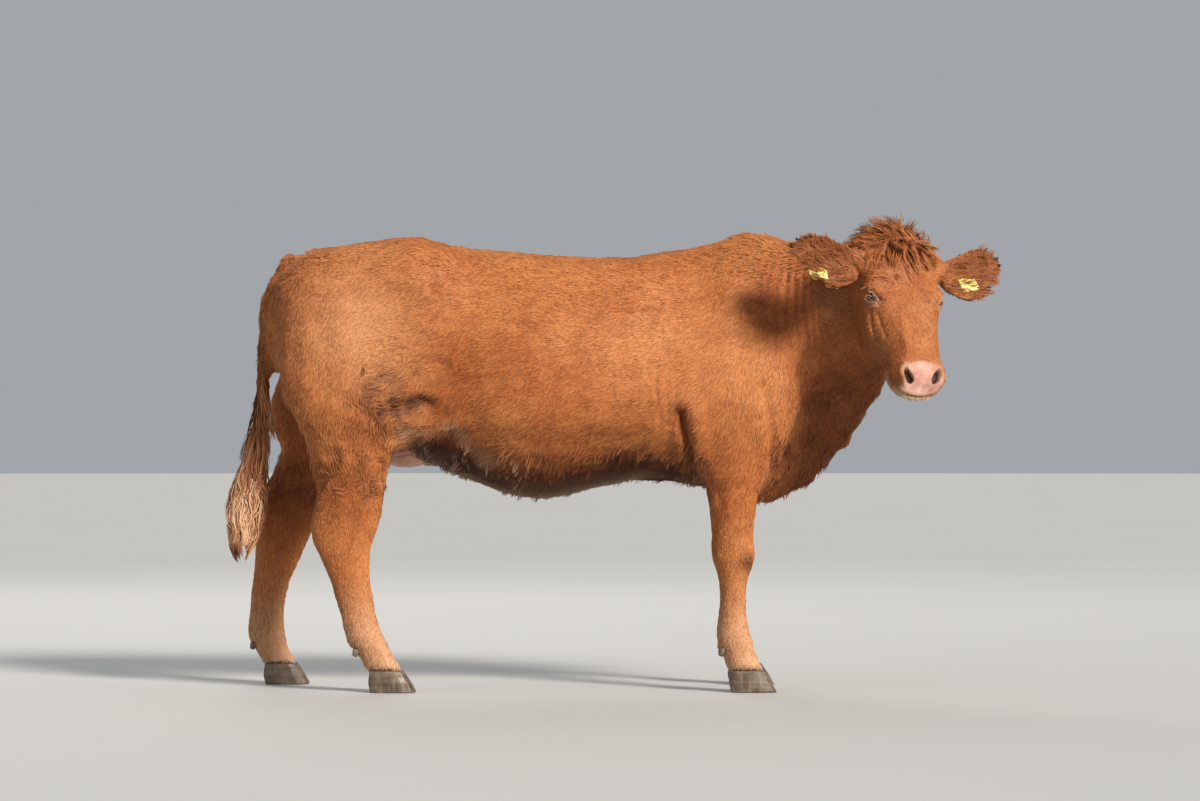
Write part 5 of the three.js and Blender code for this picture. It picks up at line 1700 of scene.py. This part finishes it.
LENS = 124.14  # millimetres, on a sensor 36 mm wide
RISE = 0.0246  # share of the frame's width by which the horizon lies below its middle
CAMERA_X = -0.042
AIM = (0.0, 0.0, 0.8)  # point that the lamps look at
SUN_AT = (5.5, -7.0, 6.0)
SUN_POWER = 4.3
SUN_WIDTH = 14  # degrees
SUN_COLOUR = (1.0, 0.95, 0.87)
LAMPS = (  # name, place, size, power, colour
    ("fill", (-7.5, -6.0, 3.5), 5.0, 50, (0.90, 0.95, 1.0)),
    ("back", (-2.0, 7.0, 6.0), 4.0, 150, (1.0, 0.97, 0.93)),
)
SKY_COLOUR = (0.86, 0.90, 0.95)
SKY_STRENGTH = 0.42
FLOOR_RADIUS = 60


def area_light(name, at, size, power, colour):
    data = bpy.data.lights.new(name, "AREA")
    data.shape = "DISK"
    data.size = size
    data.energy = power
    data.color = colour
    lamp = bpy.data.objects.new(name, data)
    bpy.context.scene.collection.objects.link(lamp)
    lamp.matrix_world = aimed_from(at)


def aimed_from(at):
    """Placement of a lamp that stands at a point and looks at the cow."""
    back = unit(np.array(at) - np.array(AIM))
    right = unit(np.cross(UP, back))
    over = np.cross(back, right)
    return Matrix([(*row, at[i]) for i, row in enumerate(zip(right, over, back))] + [(0, 0, 0, 1)])


class COW_OT_stage(bpy.types.Operator):
    """Lays the floor, hangs the lights and sets up the camera"""

    bl_idname = "cow.stage"
    bl_label = "Stage"

    def execute(self, context):
        scene = context.scene
        settings = scene.cow_stage
        bpy.ops.object.select_all(action="DESELECT")
        bpy.ops.mesh.primitive_circle_add(vertices=96, radius=FLOOR_RADIUS, fill_type="NGON")
        floor = bpy.context.active_object
        floor.name = "floor"
        floor.data.materials.append(floor_material())
        sun = bpy.data.lights.new("key", "SUN")
        sun.energy = SUN_POWER
        sun.angle = math.radians(SUN_WIDTH)
        sun.color = SUN_COLOUR
        key = bpy.data.objects.new("key", sun)
        scene.collection.objects.link(key)
        key.matrix_world = aimed_from(SUN_AT)
        for lamp in LAMPS:
            area_light(*lamp)
        world = bpy.data.worlds.new("studio")
        world.use_nodes = True
        backdrop = world.node_tree.nodes["Background"]
        backdrop.inputs["Color"].default_value = opaque(SKY_COLOUR)
        backdrop.inputs["Strength"].default_value = SKY_STRENGTH
        scene.world = world
        scene.view_settings.view_transform = "Standard"
        camera = bpy.data.cameras.new("camera")
        camera.lens = LENS
        camera.sensor_width = 36
        camera.shift_y = RISE
        camera.clip_end = 200
        eye = bpy.data.objects.new("camera", camera)
        scene.collection.objects.link(eye)
        eye.location = (CAMERA_X, MIDDLE_Y - settings.distance, settings.height)
        eye.rotation_euler = (math.pi / 2, 0, 0)
        scene.camera = eye
        return {"FINISHED"}


class COW_PT_panel(bpy.types.Panel):
    """The steps that dress the cow, in order"""

    bl_label = "Cow"
    bl_idname = "COW_PT_panel"
    bl_space_type = "VIEW_3D"
    bl_region_type = "UI"
    bl_category = "Cow"

    def draw(self, context):
        for step in STEPS:
            self.layout.operator(step.bl_idname)
        for settings in (context.scene.cow_skin, context.scene.cow_coat, context.scene.cow_stage):
            for key in settings.__annotations__:
                self.layout.prop(settings, key)


STEPS = (COW_OT_stage, COW_OT_skin, COW_OT_eyes, COW_OT_claws, COW_OT_tags, COW_OT_coat, COW_OT_locks)
GROUPS = (("cow_skin", CowSkinSettings), ("cow_coat", CowCoatSettings), ("cow_stage", CowStageSettings))


def register():
    for _, group in GROUPS:
        bpy.utils.register_class(group)
    for name, group in GROUPS:
        setattr(bpy.types.Scene, name, bpy.props.PointerProperty(type=group))
    for step in STEPS + (COW_PT_panel,):
        bpy.utils.register_class(step)


def unregister():
    for step in reversed(STEPS + (COW_PT_panel,)):
        bpy.utils.unregister_class(step)
    for name, group in GROUPS:
        delattr(bpy.types.Scene, name)
        bpy.utils.unregister_class(group)


def main():
    register()
    bpy.ops.cow.stage()
    bpy.ops.cow.skin()
    bpy.ops.cow.eyes()
    bpy.ops.cow.claws()
    bpy.ops.cow.tags()
    bpy.ops.cow.coat()
    bpy.ops.cow.locks()


if __name__ == "__main__":
    main()
